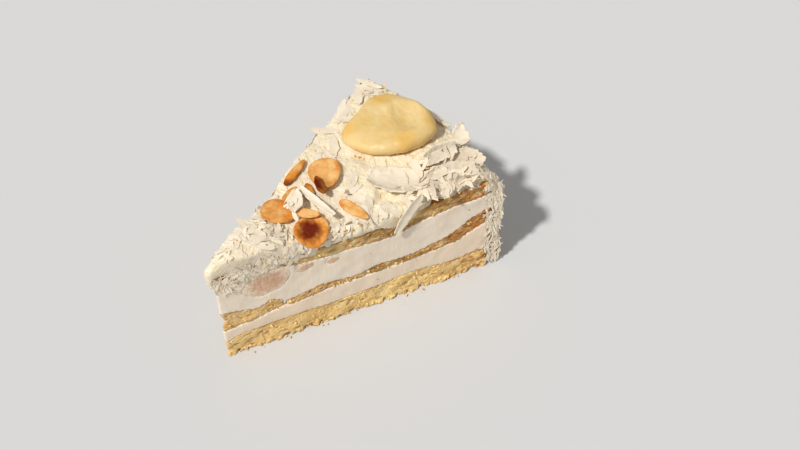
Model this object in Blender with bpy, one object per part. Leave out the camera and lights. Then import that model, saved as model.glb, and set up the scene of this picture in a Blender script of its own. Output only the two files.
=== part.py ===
"""One slice of a round layered cake with pineapple and toasted almonds.

Three sponge layers and two cream layers stand under a coat of whipped cream that is covered with
white shavings. The tip of the wedge points to -X, its rim to +X, and the cut that the toppings
lean over faces -Y. Sizes are in millimetres, and write_solid scales them to metres.
"""

import math
import random
from dataclasses import dataclass

import bmesh
import bpy
import numpy as np
from mathutils import Euler, Matrix, Vector, noise
from mathutils.bvhtree import BVHTree

# The wedge
MM = 0.001
WEDGE_ANGLE = math.radians(37.0)
TIP_RADIUS = 1.5
LAYER_RADIUS = 116.5
SPLIT_RADII = (26.4, 28.4)
GAP = 0.3
ACROSS = 4
TIP_CELLS = 5
MAIN_CELLS = 19

# Heights of the faces between the layers, as (distance from the tip, height)
BASE_TOP = ((0, 7.6), (6, 10.8), (23, 11.6), (53, 10.6), (85, 12.6), (100, 10.2), (112, 12), (117, 9))
MIDDLE_UNDER = ((0, 16.4), (12, 17), (26, 19.8), (29, 18.8), (40, 20.4), (78, 20.6), (91, 21.4),
                (102, 22.3), (107, 24.7), (117, 28.2))
MIDDLE_TOP = ((0, 27.3), (7, 26), (16, 22.8), (22, 26.2), (26, 23.6), (29, 21.6), (42, 24.2),
              (50, 23.3), (56, 22.1), (64, 24.1), (85, 23.6), (92, 25.4), (101, 27.8), (107, 32.3),
              (117, 35.8))
TOP_UNDER = ((0, 44.5), (24, 45.3), (31, 41.8), (45, 39.8), (60, 39.9), (74, 38.2), (82, 41),
             (97, 43.2), (117, 44.2))
TOP_TOP = ((0, 48.5), (30, 47.4), (45, 45.4), (60, 45.2), (79, 45.2), (84, 48.3), (97, 50), (117, 50.6))
FROSTING_TOP = ((0, 54), (7, 56.5), (16, 58.2), (25, 56.6), (36, 53), (60, 52.6), (90, 53.4),
                (108, 54), (117, 52.8))
LAYER_SWELL = 0.8
FROSTING_SWELL = 1.3
SPONGE_RELIEF = 0.95
CREAM_RELIEF = 0.2

# The frosting's wall round the rim and its hood over the tip
WALL_INNER = 116.8
WALL_OUTER = 119.4
WALL_BULGE = 3.0
BULGE_HEIGHT = 27.0
BULGE_REACH = 20.0
WALL_WAVE = 0.8
WALL_HEIGHTS = (45, 36, 27, 18, 9, 0.4)
HOOD_HEIGHTS = (41, 47)
HOOD_LEAN = (0.72, 1.92)
TIP_LEAN = 2.6
RIM_INSET = 1.0
RIM_FALL = 0.6
OVERHANG = 0.9
TIP_BULGE = 2.6
TIP_BULGE_RADIUS = 17.0
TIP_BULGE_REACH = 14.0
BACK_HEAP = 4.2
HEAP_START = 38.0
HEAP_RUN = 24.0
FAR_OVERHANG = 1.4
MIDDLE_HEAP = 2.4
MIDDLE_RADIUS = 50.0
MIDDLE_REACH = 18.0
EDGE_FALL = 1.6

# The pineapple chunk on top: its outline seen from above, its thin tail and the dented round lobe
CHUNK_OUTLINE = ((76.6, 15.2), (81.2, 1.2), (89.2, -6), (98.6, -8.8), (108.8, -9), (112.8, 1), (111.6, 9.6),
                 (109, 19.4), (100.8, 24.4), (93.4, 20.2), (84.4, 19.4))
CHUNK_CENTRE = (95.0, 7.0)
ROUNDING_LOSS = 1.07
CHUNK_THICKNESS = 9.0
CHUNK_INSET = 0.72
TAIL_THINNING = 0.3
TAIL_END = 78.0
TAIL_RUN = 16.0
LOBE_CENTRE = (102.6, 4.2)
LOBE_RADIUS = 8.6
LOBE_RISE = 1.3
LOBE_WIDTH = 2.6
DENT_CENTRE = (99.2, 3.2)
DENT_DEPTH = 1.9
DENT_RADIUS = 5.4

# Pineapple in the cream
KNOB_HEIGHT = 0.16
KNOBS_PER_RADIUS = 1.7

# Almond flakes
ALMOND_CELLS = 5
ALMOND_ACROSS = 4
ALMOND_THICKNESS = 1.15
ALMOND_THINNING = 0.35
ALMOND_POINT = 0.22
ALMOND_WAVE = 0.3
ALMOND_DISH = (0.9, 0.7)

# Form of every shaving
SHAVING_THICKNESS = 0.55
TORN_EDGE = 0.22
NARROWEST = 0.12
TAPER_POWER = 2.2
CUPPING = 0.1
SHAVING_WAVE = 0.35
PETAL_CELLS = 6
PETAL_ACROSS = 3
STICK_ACROSS = 2
STICK_START = 12.0
STICK_MARK = 4.0
MARK_STEP = 3.7

# White shavings that are fused to the frosting
SEED = 11
NEEDLE_SHARE = 0.4
NEEDLE_LENGTH = (6, 12)
NEEDLE_WIDTH = (1.1, 1.9)
NEEDLE_CELLS = 2
FLAKE_LENGTH = (7, 13)
FLAKE_WIDTH = (2.6, 4.8)
FLAKE_CELLS = 3
SHAVING_CURL = (0.2, 1.3)
SHAVING_TAPER = (0.1, 0.6)
SHAVING_SKEW = (-1.2, 1.2)
TOP_SHAVINGS = 118
RIM_SHAVINGS = 46
EDGE_SHAVINGS = 66
HOOD_SHAVINGS = 8
SINK = 0.45
EDGE_MARGIN = 0.04
FIRST_RADIUS = 4.0
TOP_PITCH = (-25, 25)
TOP_ROLL = (-40, 40)
RIM_PITCH = (60, 120)
RIM_ROLL = (-30, 30)
RIM_TURN = (-20, 20)
RIM_LOWEST = 7.0
RIM_RANGE = 42.0
EDGE_FIRST = 8.0
EDGE_RUN = 106.0
EDGE_PITCH = (-24, 24)
EDGE_TURN = (-35, 35)
EDGE_HANG = (8, 42)
EDGE_OUT = (-2.5, 0.5)
HOOD_FIRST = 3.0
HOOD_STEP = 0.8
HOOD_BAND = (46, 50)
HOOD_TURN = (-20, 20)
MOST_OUT = 4.6
MOST_RADIUS = 125.0
MOST_HEIGHT = 61.0
GOLDEN = 0.618034
FAR_AWAY = 90.0
DOWN = Vector((0, 0, -1))


@dataclass(frozen=True)
class Lump:
    """A piece of pineapple in the upper cream, cut flush with the slice's near cut."""

    name: str
    along: float
    height: float
    half_length: float
    half_height: float
    depth: float
    turn: float
    detail: int


@dataclass(frozen=True)
class Flake:
    """A toasted almond flake: its place on the top, size, and turn, pitch and roll in degrees."""

    name: str
    x: float
    y: float
    length: float
    width: float
    yaw: float
    pitch: float
    roll: float
    curl: float


@dataclass(frozen=True)
class Petal:
    """A large white shaving: its place, size, turn, pitch and roll, and how far it curls."""

    name: str
    x: float
    y: float
    length: float
    width: float
    yaw: float
    pitch: float
    roll: float
    curl: float
    taper: float = 0.6


LUMPS = (
    Lump("pineapple_inside_1", 20.9, 36.9, 9.6, 6.0, 6.0, 8.0, 3),
    Lump("pineapple_inside_2", 36.4, 38.0, 3.8, 1.3, 2.6, 4.0, 2),
    Lump("pineapple_inside_3", 48.2, 36.6, 2.8, 1.2, 2.2, -6.0, 2),
)
FLAKES = (
    Flake("almond_1", 36.6, 4.2, 14.0, 12.4, -60, 4, -4, 0.5),
    Flake("almond_2", 53.2, 14.4, 14.5, 3.8, 17, -6, 0, -0.9),
    Flake("almond_3", 61.6, 6.0, 17.0, 12.8, -122, -3, 6, 0.6),
    Flake("almond_8", 51.5, 3.9, 9.2, 4.0, 61, 2, -6, 0.3),
    Flake("almond_4", 54.6, 1.0, 10.0, 3.8, 67, 0, 22, 0.4),
    Flake("almond_5", 40.6, -10.8, 13.2, 13.4, -112, 22, 4, 0.6),
    Flake("almond_6", 43.2, -5.6, 9.2, 4.2, -52, 2, 10, 0.5),
    Flake("almond_7", 59.4, -13.4, 14.0, 4.6, -79, 4, 12, 0.3),
    Flake("almond_9", 45.2, 7.8, 9.0, 3.6, 20, 2, 4, 0.3),
)
PETALS = (
    Petal("shaving_petal_1", 81.4, -14.6, 24.0, 15.5, -50, 0, -8, 0.4, 0.5),
    Petal("shaving_petal_2", 98.2, -27.6, 20.0, 11.5, -24, 0, 16, 0.4, 0.5),
    Petal("shaving_petal_3", 110.6, -23.4, 13.0, 9.0, -62, 4, 10, 0.4),
    Petal("shaving_ridge", 101.6, -16.2, 15.0, 7.0, -12, 0, 58, 0.3, 0.35),
    Petal("shaving_fold", 42.8, 1.2, 11.6, 6.2, 48, 0, -4, 0.4, 0.85),
    Petal("shaving_strip", 49.5, -3.2, 20.5, 3.2, -89, 0, 4, 0.2, 0.3),
    Petal("shaving_ruffle", 118.2, 2.0, 13.0, 4.5, 88, 0, 30, 0.3, 0.5),
    Petal("shaving_shard", 115.4, -13.8, 11.0, 6.5, 50, -36, 6, 0.5, 0.95),
)
STICK = Petal("shaving_stick", 79.8, 50.4, 20.5, 4.8, 58, 0, 0, 0.12, 0.5)


def clear_scene():
    for obj in list(bpy.data.objects):
        bpy.data.objects.remove(obj, do_unlink=True)


def finish(name, colour, roughness, subsurface=0.0):
    """A plain material in linear colour."""
    material = bpy.data.materials.new(name)
    material.use_nodes = True
    shader = material.node_tree.nodes["Principled BSDF"]
    shader.inputs["Base Color"].default_value = (*colour, 1.0)
    shader.inputs["Roughness"].default_value = roughness
    shader.inputs["Metallic"].default_value = 0.0
    shader.inputs["Subsurface Weight"].default_value = subsurface
    return material


def write_solid(name, bm, material, smooth=False):
    """Link a millimetre mesh to the scene as a named solid in metres."""
    copy = bm.copy()
    bmesh.ops.recalc_face_normals(copy, faces=copy.faces[:])
    bmesh.ops.scale(copy, vec=(MM, MM, MM), verts=copy.verts[:])
    mesh = bpy.data.meshes.new(name)
    copy.to_mesh(mesh)
    copy.free()
    if smooth:
        mesh.shade_smooth()
        mesh.set_sharp_from_angle(angle=math.radians(50))
    mesh.materials.append(material)
    obj = bpy.data.objects.new(name, mesh)
    bpy.context.scene.collection.objects.link(obj)
    return obj


def apply_modifiers(obj):
    """Replace an object's mesh by what its modifiers make of it."""
    graph = bpy.context.evaluated_depsgraph_get()
    mesh = bpy.data.meshes.new_from_object(obj.evaluated_get(graph))
    old = obj.data
    obj.modifiers.clear()
    obj.data = mesh
    bpy.data.meshes.remove(old)
    mesh.name = obj.name


def read_back(obj):
    """The object's mesh as a bmesh in millimetres."""
    bm = bmesh.new()
    bm.from_mesh(obj.data)
    bmesh.ops.scale(bm, vec=(1 / MM,) * 3, verts=bm.verts[:])
    return bm


def keep_main_shell(obj):
    """Drop loose scraps and fill sealed hollows, so that one shell, the one with most corners, stays."""
    bm = bmesh.new()
    bm.from_mesh(obj.data)
    left = set(bm.verts)
    shells = []
    while left:
        shell = set()
        reached = [left.pop()]
        while reached:
            corner = reached.pop()
            shell.add(corner)
            for edge in corner.link_edges:
                other = edge.other_vert(corner)
                if other in left:
                    left.discard(other)
                    reached.append(other)
        shells.append(shell)
    shells.sort(key=len)
    for shell in shells[:-1]:
        bmesh.ops.delete(bm, geom=list(shell), context="VERTS")
    bm.to_mesh(obj.data)
    bm.free()


def boolean_with(obj, bodies, operation, solver="EXACT"):
    """Join bodies to an object, or cut them from it, and remove them."""
    group = bpy.data.collections.new("joined")
    bpy.context.scene.collection.children.link(group)
    made = []
    for number, bm in enumerate(bodies):
        body = write_solid(f"helper_{number}", bm, obj.data.materials[0])
        bpy.context.scene.collection.objects.unlink(body)
        group.objects.link(body)
        made.append(body)
    modifier = obj.modifiers.new("join", "BOOLEAN")
    modifier.operation = operation
    modifier.solver = solver
    modifier.operand_type = "COLLECTION"
    modifier.collection = group
    apply_modifiers(obj)
    for body in made:
        bpy.data.objects.remove(body, do_unlink=True)
    bpy.data.collections.remove(group)
    keep_main_shell(obj)


def grid_slab(columns, across, rows, place):
    """A closed slab: a grid extruded upwards, whose corners place(column, share, level) then sets.

    column runs from 0 to columns, share from 0 to 1 and level from 0 to rows.
    """
    bm = bmesh.new()
    bmesh.ops.create_grid(bm, x_segments=columns, y_segments=across, size=0.5)
    bmesh.ops.triangulate(bm, faces=bm.faces[:], quad_method="FIXED")
    faces = bm.faces[:]
    for row in range(rows):
        grown = bmesh.ops.extrude_face_region(bm, geom=faces)["geom"]
        corners = [item for item in grown if isinstance(item, bmesh.types.BMVert)]
        bmesh.ops.translate(bm, vec=(0, 0, 1), verts=corners)
        if row:
            bmesh.ops.delete(bm, geom=faces, context="FACES")
        faces = [item for item in grown if isinstance(item, bmesh.types.BMFace)]
    for corner in bm.verts:
        column = round((corner.co.x + 0.5) * columns)
        share = round((corner.co.y + 0.5) * across) / across
        corner.co = place(column, share, round(corner.co.z))
    bmesh.ops.recalc_face_normals(bm, faces=bm.faces[:])
    return bm


def height_along(table, radius):
    radii, heights = zip(*table)
    return float(np.interp(radius, radii, heights))


def cut_normal(side):
    """Unit vector out of the near cut (side -1) or the far cut (side 1)."""
    half = WEDGE_ANGLE / 2
    return Vector((-math.sin(half), side * math.cos(half), 0))


def wedge_point(radius, share, height):
    """Point at a distance from the tip; share 0 is the near cut and share 1 the far cut."""
    angle = (share - 0.5) * WEDGE_ANGLE
    return Vector((radius * math.cos(angle), radius * math.sin(angle), height))


def swell(radius, share, level, size):
    """Unevenness of a face between layers: none at the near cut, growing inwards."""
    point = wedge_point(radius, share, 0)
    inward = min(1.0, share * WEDGE_ANGLE * radius / 12)
    return size * inward * noise.noise(Vector((point.x / 16, point.y / 16, level)))


def face_height(table, radius, share, size=LAYER_SWELL):
    return height_along(table, radius) + swell(radius, share, table[0][1], size)


def relief(point, share, amount):
    """Point moved in or out of the nearest cut by crumbly noise; inner points stay."""
    if share not in (0, 1):
        return point
    rough = noise.noise(point / 3.1) + 0.6 * noise.noise(point / 1.3)
    return point + cut_normal(2 * share - 1) * amount * (rough - 0.35)


def ramp(radius):
    """How fully the far heap has risen at a distance from the tip."""
    return min(1.0, max(0.0, (radius - HEAP_START) / HEAP_RUN))


def coat_height(radius, share):
    """Top of the frosting, heaped up along the far cut and under the almonds."""
    heap = BACK_HEAP * share**4 * ramp(radius)
    heap += MIDDLE_HEAP * min(1.0, 1.5 * share) * bump(radius - MIDDLE_RADIUS, MIDDLE_REACH)
    fall = EDGE_FALL if share == 0 and radius > HEAP_RUN else 0.0
    return face_height(FROSTING_TOP, radius, share, FROSTING_SWELL) + heap - fall


def radii_of_grid():
    """Distances from the tip shared by every layer, so that faces that meet have the same facets."""
    tip = np.linspace(TIP_RADIUS, SPLIT_RADII[0], TIP_CELLS + 1)
    main = np.linspace(SPLIT_RADII[1], LAYER_RADIUS, MAIN_CELLS + 1)
    return [float(radius) for radius in (*tip, *main)]


def layer(radii, under, top, rows, roughness):
    """One layer between two faces, half a gap away from each."""

    def place(column, share, level):
        radius = radii[column]
        low = face_height(under, radius, share) + GAP / 2 if under else 0.0
        high = face_height(top, radius, share) - GAP / 2
        point = wedge_point(radius, share, low + (high - low) * level / rows)
        inner_row = 0 < level < rows or not under and level == 0
        return relief(point, share, roughness if inner_row else roughness * 0.35)

    return grid_slab(len(radii) - 1, ACROSS, rows, place)


def cream_plug():
    """The cream that fills the break in the middle sponge."""
    radii = (SPLIT_RADII[0] + GAP, SPLIT_RADII[1] - GAP)
    narrow = 0.02

    def place(column, share, level):
        radius = radii[column]
        share = narrow + share * (1 - 2 * narrow)
        low = height_along(MIDDLE_UNDER, radius) + 2 * GAP
        high = height_along(MIDDLE_TOP, radius) + 2.5
        return wedge_point(radius, share, high if level else low)

    return grid_slab(1, ACROSS, 1, place)


def lump_body(lump, grow):
    """A knobbly ellipsoid across the near cut, larger by grow all round."""
    bm = bmesh.new()
    bmesh.ops.create_icosphere(bm, subdivisions=lump.detail, radius=1)
    along = wedge_point(1, 0, 0)
    place = Matrix.Translation(wedge_point(lump.along, 0, lump.height))
    frame = Matrix((along, -cut_normal(-1), Vector((0, 0, 1)))).transposed().to_4x4()
    tilt = Matrix.Rotation(-math.radians(lump.turn), 4, "Y")
    size = Vector((lump.half_length, lump.depth, lump.half_height))
    for corner in bm.verts:
        spot = corner.co * KNOBS_PER_RADIUS + Vector((lump.along, 0, 0))
        knobs = 1 + KNOB_HEIGHT * noise.noise(spot)
        shape = Vector([corner.co[i] * size[i] * knobs for i in range(3)])
        corner.co = shape + shape.normalized() * grow
    bmesh.ops.transform(bm, matrix=place @ frame @ tilt, verts=bm.verts[:])
    return bm


def flush_lump(lump):
    """The lump cut off level with the near cut."""
    bm = lump_body(lump, 0.0)
    outward = cut_normal(-1)
    geometry = bm.verts[:] + bm.edges[:] + bm.faces[:]
    cut = bmesh.ops.bisect_plane(
        bm, geom=geometry, plane_co=outward * 0.1, plane_no=outward, clear_outer=True
    )
    rim = [item for item in cut["geom_cut"] if isinstance(item, bmesh.types.BMEdge)]
    bmesh.ops.edgeloop_fill(bm, edges=rim)
    bmesh.ops.triangulate(bm, faces=bm.faces[:])
    return bm


def wall_radius(height, share):
    """Outer radius of the frosting's wall."""
    bulge = math.exp(-(((height - BULGE_HEIGHT) / BULGE_REACH) ** 2))
    wave = noise.noise(Vector((share * 5, height / 12, 7)))
    return WALL_OUTER + WALL_BULGE * bulge + WALL_WAVE * wave


def frosting_body(radii):
    """Whipped cream in one sheet: a hood over the tip, the top, and the wall round the rim."""
    hood = len(HOOD_HEIGHTS)
    top = radii[:-1]
    columns = hood + len(top) + 1 + len(WALL_HEIGHTS) - 1

    def overhang(point, share):
        if share not in (0, 1):
            return point
        wave = OVERHANG * (0.6 + noise.noise(Vector((point.x / 6, point.y / 6, 3))))
        bulge = TIP_BULGE * bump(point.x - TIP_BULGE_RADIUS, TIP_BULGE_REACH)
        bulge += FAR_OVERHANG * ramp(point.x) * ramp(MOST_RADIUS - point.x + HEAP_START)
        return point + cut_normal(2 * share - 1) * (wave + bulge * share)

    def place(column, share, level):
        if column < hood:
            if level:
                lean = Vector((-HOOD_LEAN[column], 0, 0))
                return overhang(wedge_point(TIP_RADIUS, share, HOOD_HEIGHTS[column]) + lean, share)
            return wedge_point(TIP_RADIUS - GAP, share, HOOD_HEIGHTS[column])
        column -= hood
        if column < len(top):
            if level:
                lean = Vector((-TIP_LEAN if column == 0 else 0, 0, 0))
                high = coat_height(top[column], share)
                return overhang(wedge_point(top[column], share, high) + lean, share)
            return wedge_point(top[column], share, face_height(TOP_TOP, top[column], share) + GAP / 2)
        column -= len(top)
        if column == 0:
            if level:
                high = coat_height(LAYER_RADIUS, share)
                return overhang(wedge_point(WALL_OUTER - RIM_INSET, share, high - RIM_FALL), share)
            return wedge_point(WALL_INNER, share, face_height(TOP_TOP, LAYER_RADIUS, share) + GAP / 2)
        height = WALL_HEIGHTS[column - 1]
        if level:
            return overhang(wedge_point(wall_radius(height, share), share, height), share)
        return wedge_point(WALL_INNER, share, height)

    return grid_slab(columns, ACROSS, 1, place)


def curled_sheet(item, cells, across, mark, skew=0.0):
    """A thin strip curled along its length, narrowing to ragged ends that skew sets aslant."""
    length, width, curl, taper = item.length, item.width, item.curl, item.taper
    thickness = SHAVING_THICKNESS

    def place(column, share, level):
        along = column / cells - 0.5
        narrow = 1 - taper * abs(2 * along) ** TAPER_POWER
        ragged = 1 + TORN_EDGE * noise.noise(Vector((along * 7, share * 3, mark)))
        side = (share - 0.5) * width * max(narrow, NARROWEST) * ragged
        radius = length / curl + thickness * (0.5 - level)
        cup = CUPPING * width * (2 * share - 1) ** 2
        bend = along * curl
        wave = SHAVING_WAVE * noise.noise(Vector((along * 4, share * 2, mark + 5)))
        x = radius * math.sin(bend) + skew * side
        z = length / curl - radius * math.cos(bend) + cup + wave
        return Vector((x, side, z))

    return grid_slab(cells, across, 1, place)


def almond_sheet(flake):
    """A thin oval plate with one end drawn to a point, dished along its length and width."""

    def place(column, share, level):
        u = 2 * column / ALMOND_CELLS - 1
        v = 2 * share - 1
        x = u * math.sqrt(1 - v * v / 2)
        y = v * math.sqrt(1 - u * u / 2)
        pointed = 1 - ALMOND_POINT * x
        wave = ALMOND_WAVE * noise.noise(Vector((x * 1.5, y * 1.5, flake.x)))
        dish = flake.curl * (ALMOND_DISH[0] * x * x + ALMOND_DISH[1] * y * y)
        thickness = ALMOND_THICKNESS - ALMOND_THINNING * (x * x + y * y)
        z = dish + wave + thickness * (level - 0.5)
        return Vector((x * flake.length / 2, y * pointed * flake.width / 2, z))

    return grid_slab(ALMOND_CELLS, ALMOND_ACROSS, 1, place)


def chunk_cage():
    """The outline of the pineapple chunk drawn up, then inset on top."""
    bm = bmesh.new()
    bmesh.ops.create_circle(bm, cap_ends=True, segments=len(CHUNK_OUTLINE), radius=1)
    centre = Vector((*CHUNK_CENTRE, 0))
    for corner, spot in zip(bm.verts[:], CHUNK_OUTLINE):
        corner.co = centre + (Vector((*spot, 0)) - centre) * ROUNDING_LOSS
    rise = bmesh.ops.extrude_face_region(bm, geom=bm.faces[:])["geom"]
    upper = [item for item in rise if isinstance(item, bmesh.types.BMVert)]
    bmesh.ops.translate(bm, vec=(0, 0, CHUNK_THICKNESS), verts=upper)
    lid = [item for item in rise if isinstance(item, bmesh.types.BMFace)]
    inset = bmesh.ops.extrude_face_region(bm, geom=lid)["geom"]
    bmesh.ops.delete(bm, geom=lid, context="FACES")
    for corner in inset:
        if isinstance(corner, bmesh.types.BMVert):
            flat = centre + (corner.co - centre) * CHUNK_INSET
            corner.co = Vector((flat.x, flat.y, CHUNK_THICKNESS))
    bmesh.ops.recalc_face_normals(bm, faces=bm.faces[:])
    return bm


def bump(distance, width):
    """A smooth hump that falls off with distance."""
    return math.exp(-((distance / width) ** 2))


def chunk_height(point):
    """The height of a corner of the chunk, thinned towards the tail, with the lobe and its dent."""
    tail = min(1.0, max(0.0, (TAIL_END + TAIL_RUN - point.x) / TAIL_RUN))
    height = point.z * (1 - TAIL_THINNING * tail * tail)
    flat = Vector(point.xy)
    lobe = LOBE_RISE * bump((flat - Vector(LOBE_CENTRE)).length - LOBE_RADIUS, LOBE_WIDTH)
    dent = DENT_DEPTH * bump((flat - Vector(DENT_CENTRE)).length, DENT_RADIUS)
    return height + (lobe - dent) * max(0.0, point.z / CHUNK_THICKNESS)


def chunk_body(material):
    """The pineapple chunk, rounded off from its cage and then pushed in and out on top."""
    cage = write_solid("chunk_cage", chunk_cage(), material)
    rounded = cage.modifiers.new("round", "SUBSURF")
    rounded.levels = 2
    rounded.render_levels = 2
    apply_modifiers(cage)
    bm = read_back(cage)
    bpy.data.objects.remove(cage, do_unlink=True)
    for corner in bm.verts:
        corner.co.z = chunk_height(corner.co)
    return bm


@dataclass
class Body:
    """A placed solid that others rest on or keep clear of."""

    tree: BVHTree
    corners: list


def body_of(bm):
    return Body(BVHTree.FromBMesh(bm), [corner.co.copy() for corner in bm.verts])


def settle(bm, bodies, direction, gap):
    """Move a mesh along a direction until it is a gap short of the first body it meets."""
    own = BVHTree.FromBMesh(bm)
    travel = math.inf
    for body in bodies:
        for corner in bm.verts:
            distance = body.tree.ray_cast(corner.co, direction)[3]
            if distance is not None:
                travel = min(travel, distance)
        for corner in body.corners:
            distance = own.ray_cast(corner, -direction)[3]
            if distance is not None:
                travel = min(travel, distance)
    if travel == math.inf:
        return False
    bmesh.ops.translate(bm, vec=direction * (travel - gap), verts=bm.verts[:])
    while gap > 0 and not clear_of(bm, bodies, 0.7 * gap):
        bmesh.ops.translate(bm, vec=-direction * gap, verts=bm.verts[:])
    return True


def clear_of(bm, bodies, gap):
    """Whether a mesh stays a gap away from every body."""
    own = BVHTree.FromBMesh(bm)
    for body in bodies:
        if own.overlap(body.tree):
            return False
        if any(body.tree.find_nearest(corner.co, gap)[0] for corner in bm.verts):
            return False
        if any(own.find_nearest(corner, gap)[0] for corner in body.corners):
            return False
    return True


def turned(bm, yaw, pitch, roll, place):
    """Turn a mesh by degrees and set it at a place."""
    turn = Euler([math.radians(angle) for angle in (roll, pitch, yaw)], "XYZ").to_matrix().to_4x4()
    bmesh.ops.transform(bm, matrix=Matrix.Translation(place) @ turn, verts=bm.verts[:])
    return bm


def dropped(bm, item, bodies):
    """A topping turned as named and lowered until it lies a gap above what is under it."""
    turned(bm, item.yaw, item.pitch, item.roll, Vector((item.x, item.y, FAR_AWAY)))
    settle(bm, bodies, DOWN, GAP)
    return bm


def stick_body(item):
    """The long shaving that hangs over the near cut: x and y are its place along and up the cut."""
    bm = curled_sheet(item, PETAL_CELLS, STICK_ACROSS, STICK_MARK)
    lay = Matrix.Rotation(-math.radians(item.yaw), 4, "Y") @ Matrix.Rotation(math.radians(90), 4, "X")
    along = wedge_point(1, 0, 0)
    frame = Matrix((along, -cut_normal(-1), Vector((0, 0, 1)))).transposed().to_4x4()
    place = Matrix.Translation(wedge_point(item.x, 0, item.y) + cut_normal(-1) * STICK_START)
    bmesh.ops.transform(bm, matrix=place @ frame @ lay, verts=bm.verts[:])
    return bm


def random_shaving(rng):
    """A needle or a flake with a seeded size."""
    needle = rng.random() < NEEDLE_SHARE
    length = rng.uniform(*(NEEDLE_LENGTH if needle else FLAKE_LENGTH))
    width = rng.uniform(*(NEEDLE_WIDTH if needle else FLAKE_WIDTH))
    curl = rng.uniform(*SHAVING_CURL)
    taper = rng.uniform(*SHAVING_TAPER)
    cells = NEEDLE_CELLS if needle else FLAKE_CELLS
    mark = rng.uniform(0, FAR_AWAY)
    skew = rng.uniform(*SHAVING_SKEW)
    item = Petal("loose", 0, 0, length, width, 0, 0, 0, curl, taper)
    return curled_sheet(item, cells, 1, mark, skew)


def spread(number):
    """Share of the wedge for the next of many shavings: golden steps keep them evenly apart."""
    return EDGE_MARGIN + (1 - 2 * EDGE_MARGIN) * ((number * GOLDEN) % 1)


def shavings_on_top(rng):
    """Shavings lying every way on the top, with the direction each one settles in."""
    for number in range(TOP_SHAVINGS):
        radius = max(FIRST_RADIUS, LAYER_RADIUS * math.sqrt((number + 0.5) / TOP_SHAVINGS))
        spot = wedge_point(radius, spread(number), FAR_AWAY)
        tilts = rng.uniform(0, 360), rng.uniform(*TOP_PITCH), rng.uniform(*TOP_ROLL)
        yield turned(random_shaving(rng), *tilts, spot), DOWN


def shavings_on_wall(rng):
    """Shavings standing more or less upright on the wall round the rim."""
    for number in range(RIM_SHAVINGS):
        share = spread(number)
        height = RIM_LOWEST + RIM_RANGE * (number + 0.5) / RIM_SHAVINGS
        tilts = 90, rng.uniform(*RIM_PITCH), rng.uniform(*RIM_ROLL)
        shaving = turned(random_shaving(rng), *tilts, Vector())
        heading = math.degrees((share - 0.5) * WEDGE_ANGLE) + rng.uniform(*RIM_TURN)
        turned(shaving, heading, 0, 0, wedge_point(FAR_AWAY + WALL_OUTER, share, height))
        yield shaving, -wedge_point(1, share, 0)


def shavings_on_edges(rng):
    """Shavings that lie across the top edges of the cuts, two on the near one to each far one."""
    for number in range(EDGE_SHAVINGS):
        side = 1 if number % 3 == 0 else -1
        share = (side + 1) / 2
        radius = EDGE_FIRST + EDGE_RUN * (number + 0.5) / EDGE_SHAVINGS
        shaving = turned(random_shaving(rng), 0, rng.uniform(*EDGE_PITCH), 0, Vector())
        heading = math.degrees((share - 0.5) * WEDGE_ANGLE) + 90 + rng.uniform(*EDGE_TURN)
        turned(shaving, heading, side * rng.uniform(*EDGE_HANG), 0, Vector())
        spot = wedge_point(radius, share, FAR_AWAY) + cut_normal(side) * rng.uniform(*EDGE_OUT)
        bmesh.ops.translate(shaving, vec=spot, verts=shaving.verts[:])
        yield shaving, DOWN


def shavings_on_hood(rng):
    """Shavings that hang down both sides of the tip."""
    for number in range(HOOD_SHAVINGS):
        side = 1 if number % 2 == 0 else -1
        shaving = turned(random_shaving(rng), 0, 90, 90, Vector())
        turned(shaving, rng.uniform(*HOOD_TURN), rng.uniform(*HOOD_TURN), 0, Vector())
        radius = HOOD_FIRST + HOOD_STEP * number
        spot = wedge_point(radius, (side + 1) / 2, rng.uniform(*HOOD_BAND))
        bmesh.ops.translate(shaving, vec=spot + cut_normal(side) * FAR_AWAY, verts=shaving.verts[:])
        yield shaving, -cut_normal(side)


def stays_close(shaving):
    """Whether a shaving stands out no more than the others do beside, beyond and above the slice."""
    for corner in shaving.verts:
        out = max(corner.co.dot(cut_normal(side)) for side in (-1, 1))
        if out > MOST_OUT or corner.co.xy.length > MOST_RADIUS or corner.co.z > MOST_HEIGHT:
            return False
    return True


def fused_shavings(frosting, others):
    """The shavings that bite into the frosting and keep clear of every other solid."""
    rng = random.Random(SEED)
    base = body_of(frosting)
    kept = []
    for scatter in (shavings_on_top, shavings_on_wall, shavings_on_edges, shavings_on_hood):
        for shaving, direction in scatter(rng):
            lands = settle(shaving, [base], direction, -SINK)
            bites = lands and body_of(shaving).tree.overlap(base.tree)
            if bites and stays_close(shaving) and clear_of(shaving, others, GAP):
                kept.append(shaving)
    return kept


def centre_on_base(objects):
    """Move everything so that the origin is at the middle of the box's bottom."""
    corners = [corner.co for obj in objects for corner in obj.data.vertices]
    low = Vector([min(co[axis] for co in corners) for axis in range(3)])
    high = Vector([max(co[axis] for co in corners) for axis in range(3)])
    shift = Vector((-(low.x + high.x) / 2, -(low.y + high.y) / 2, -low.z))
    for obj in objects:
        obj.data.transform(Matrix.Translation(shift))


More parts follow.
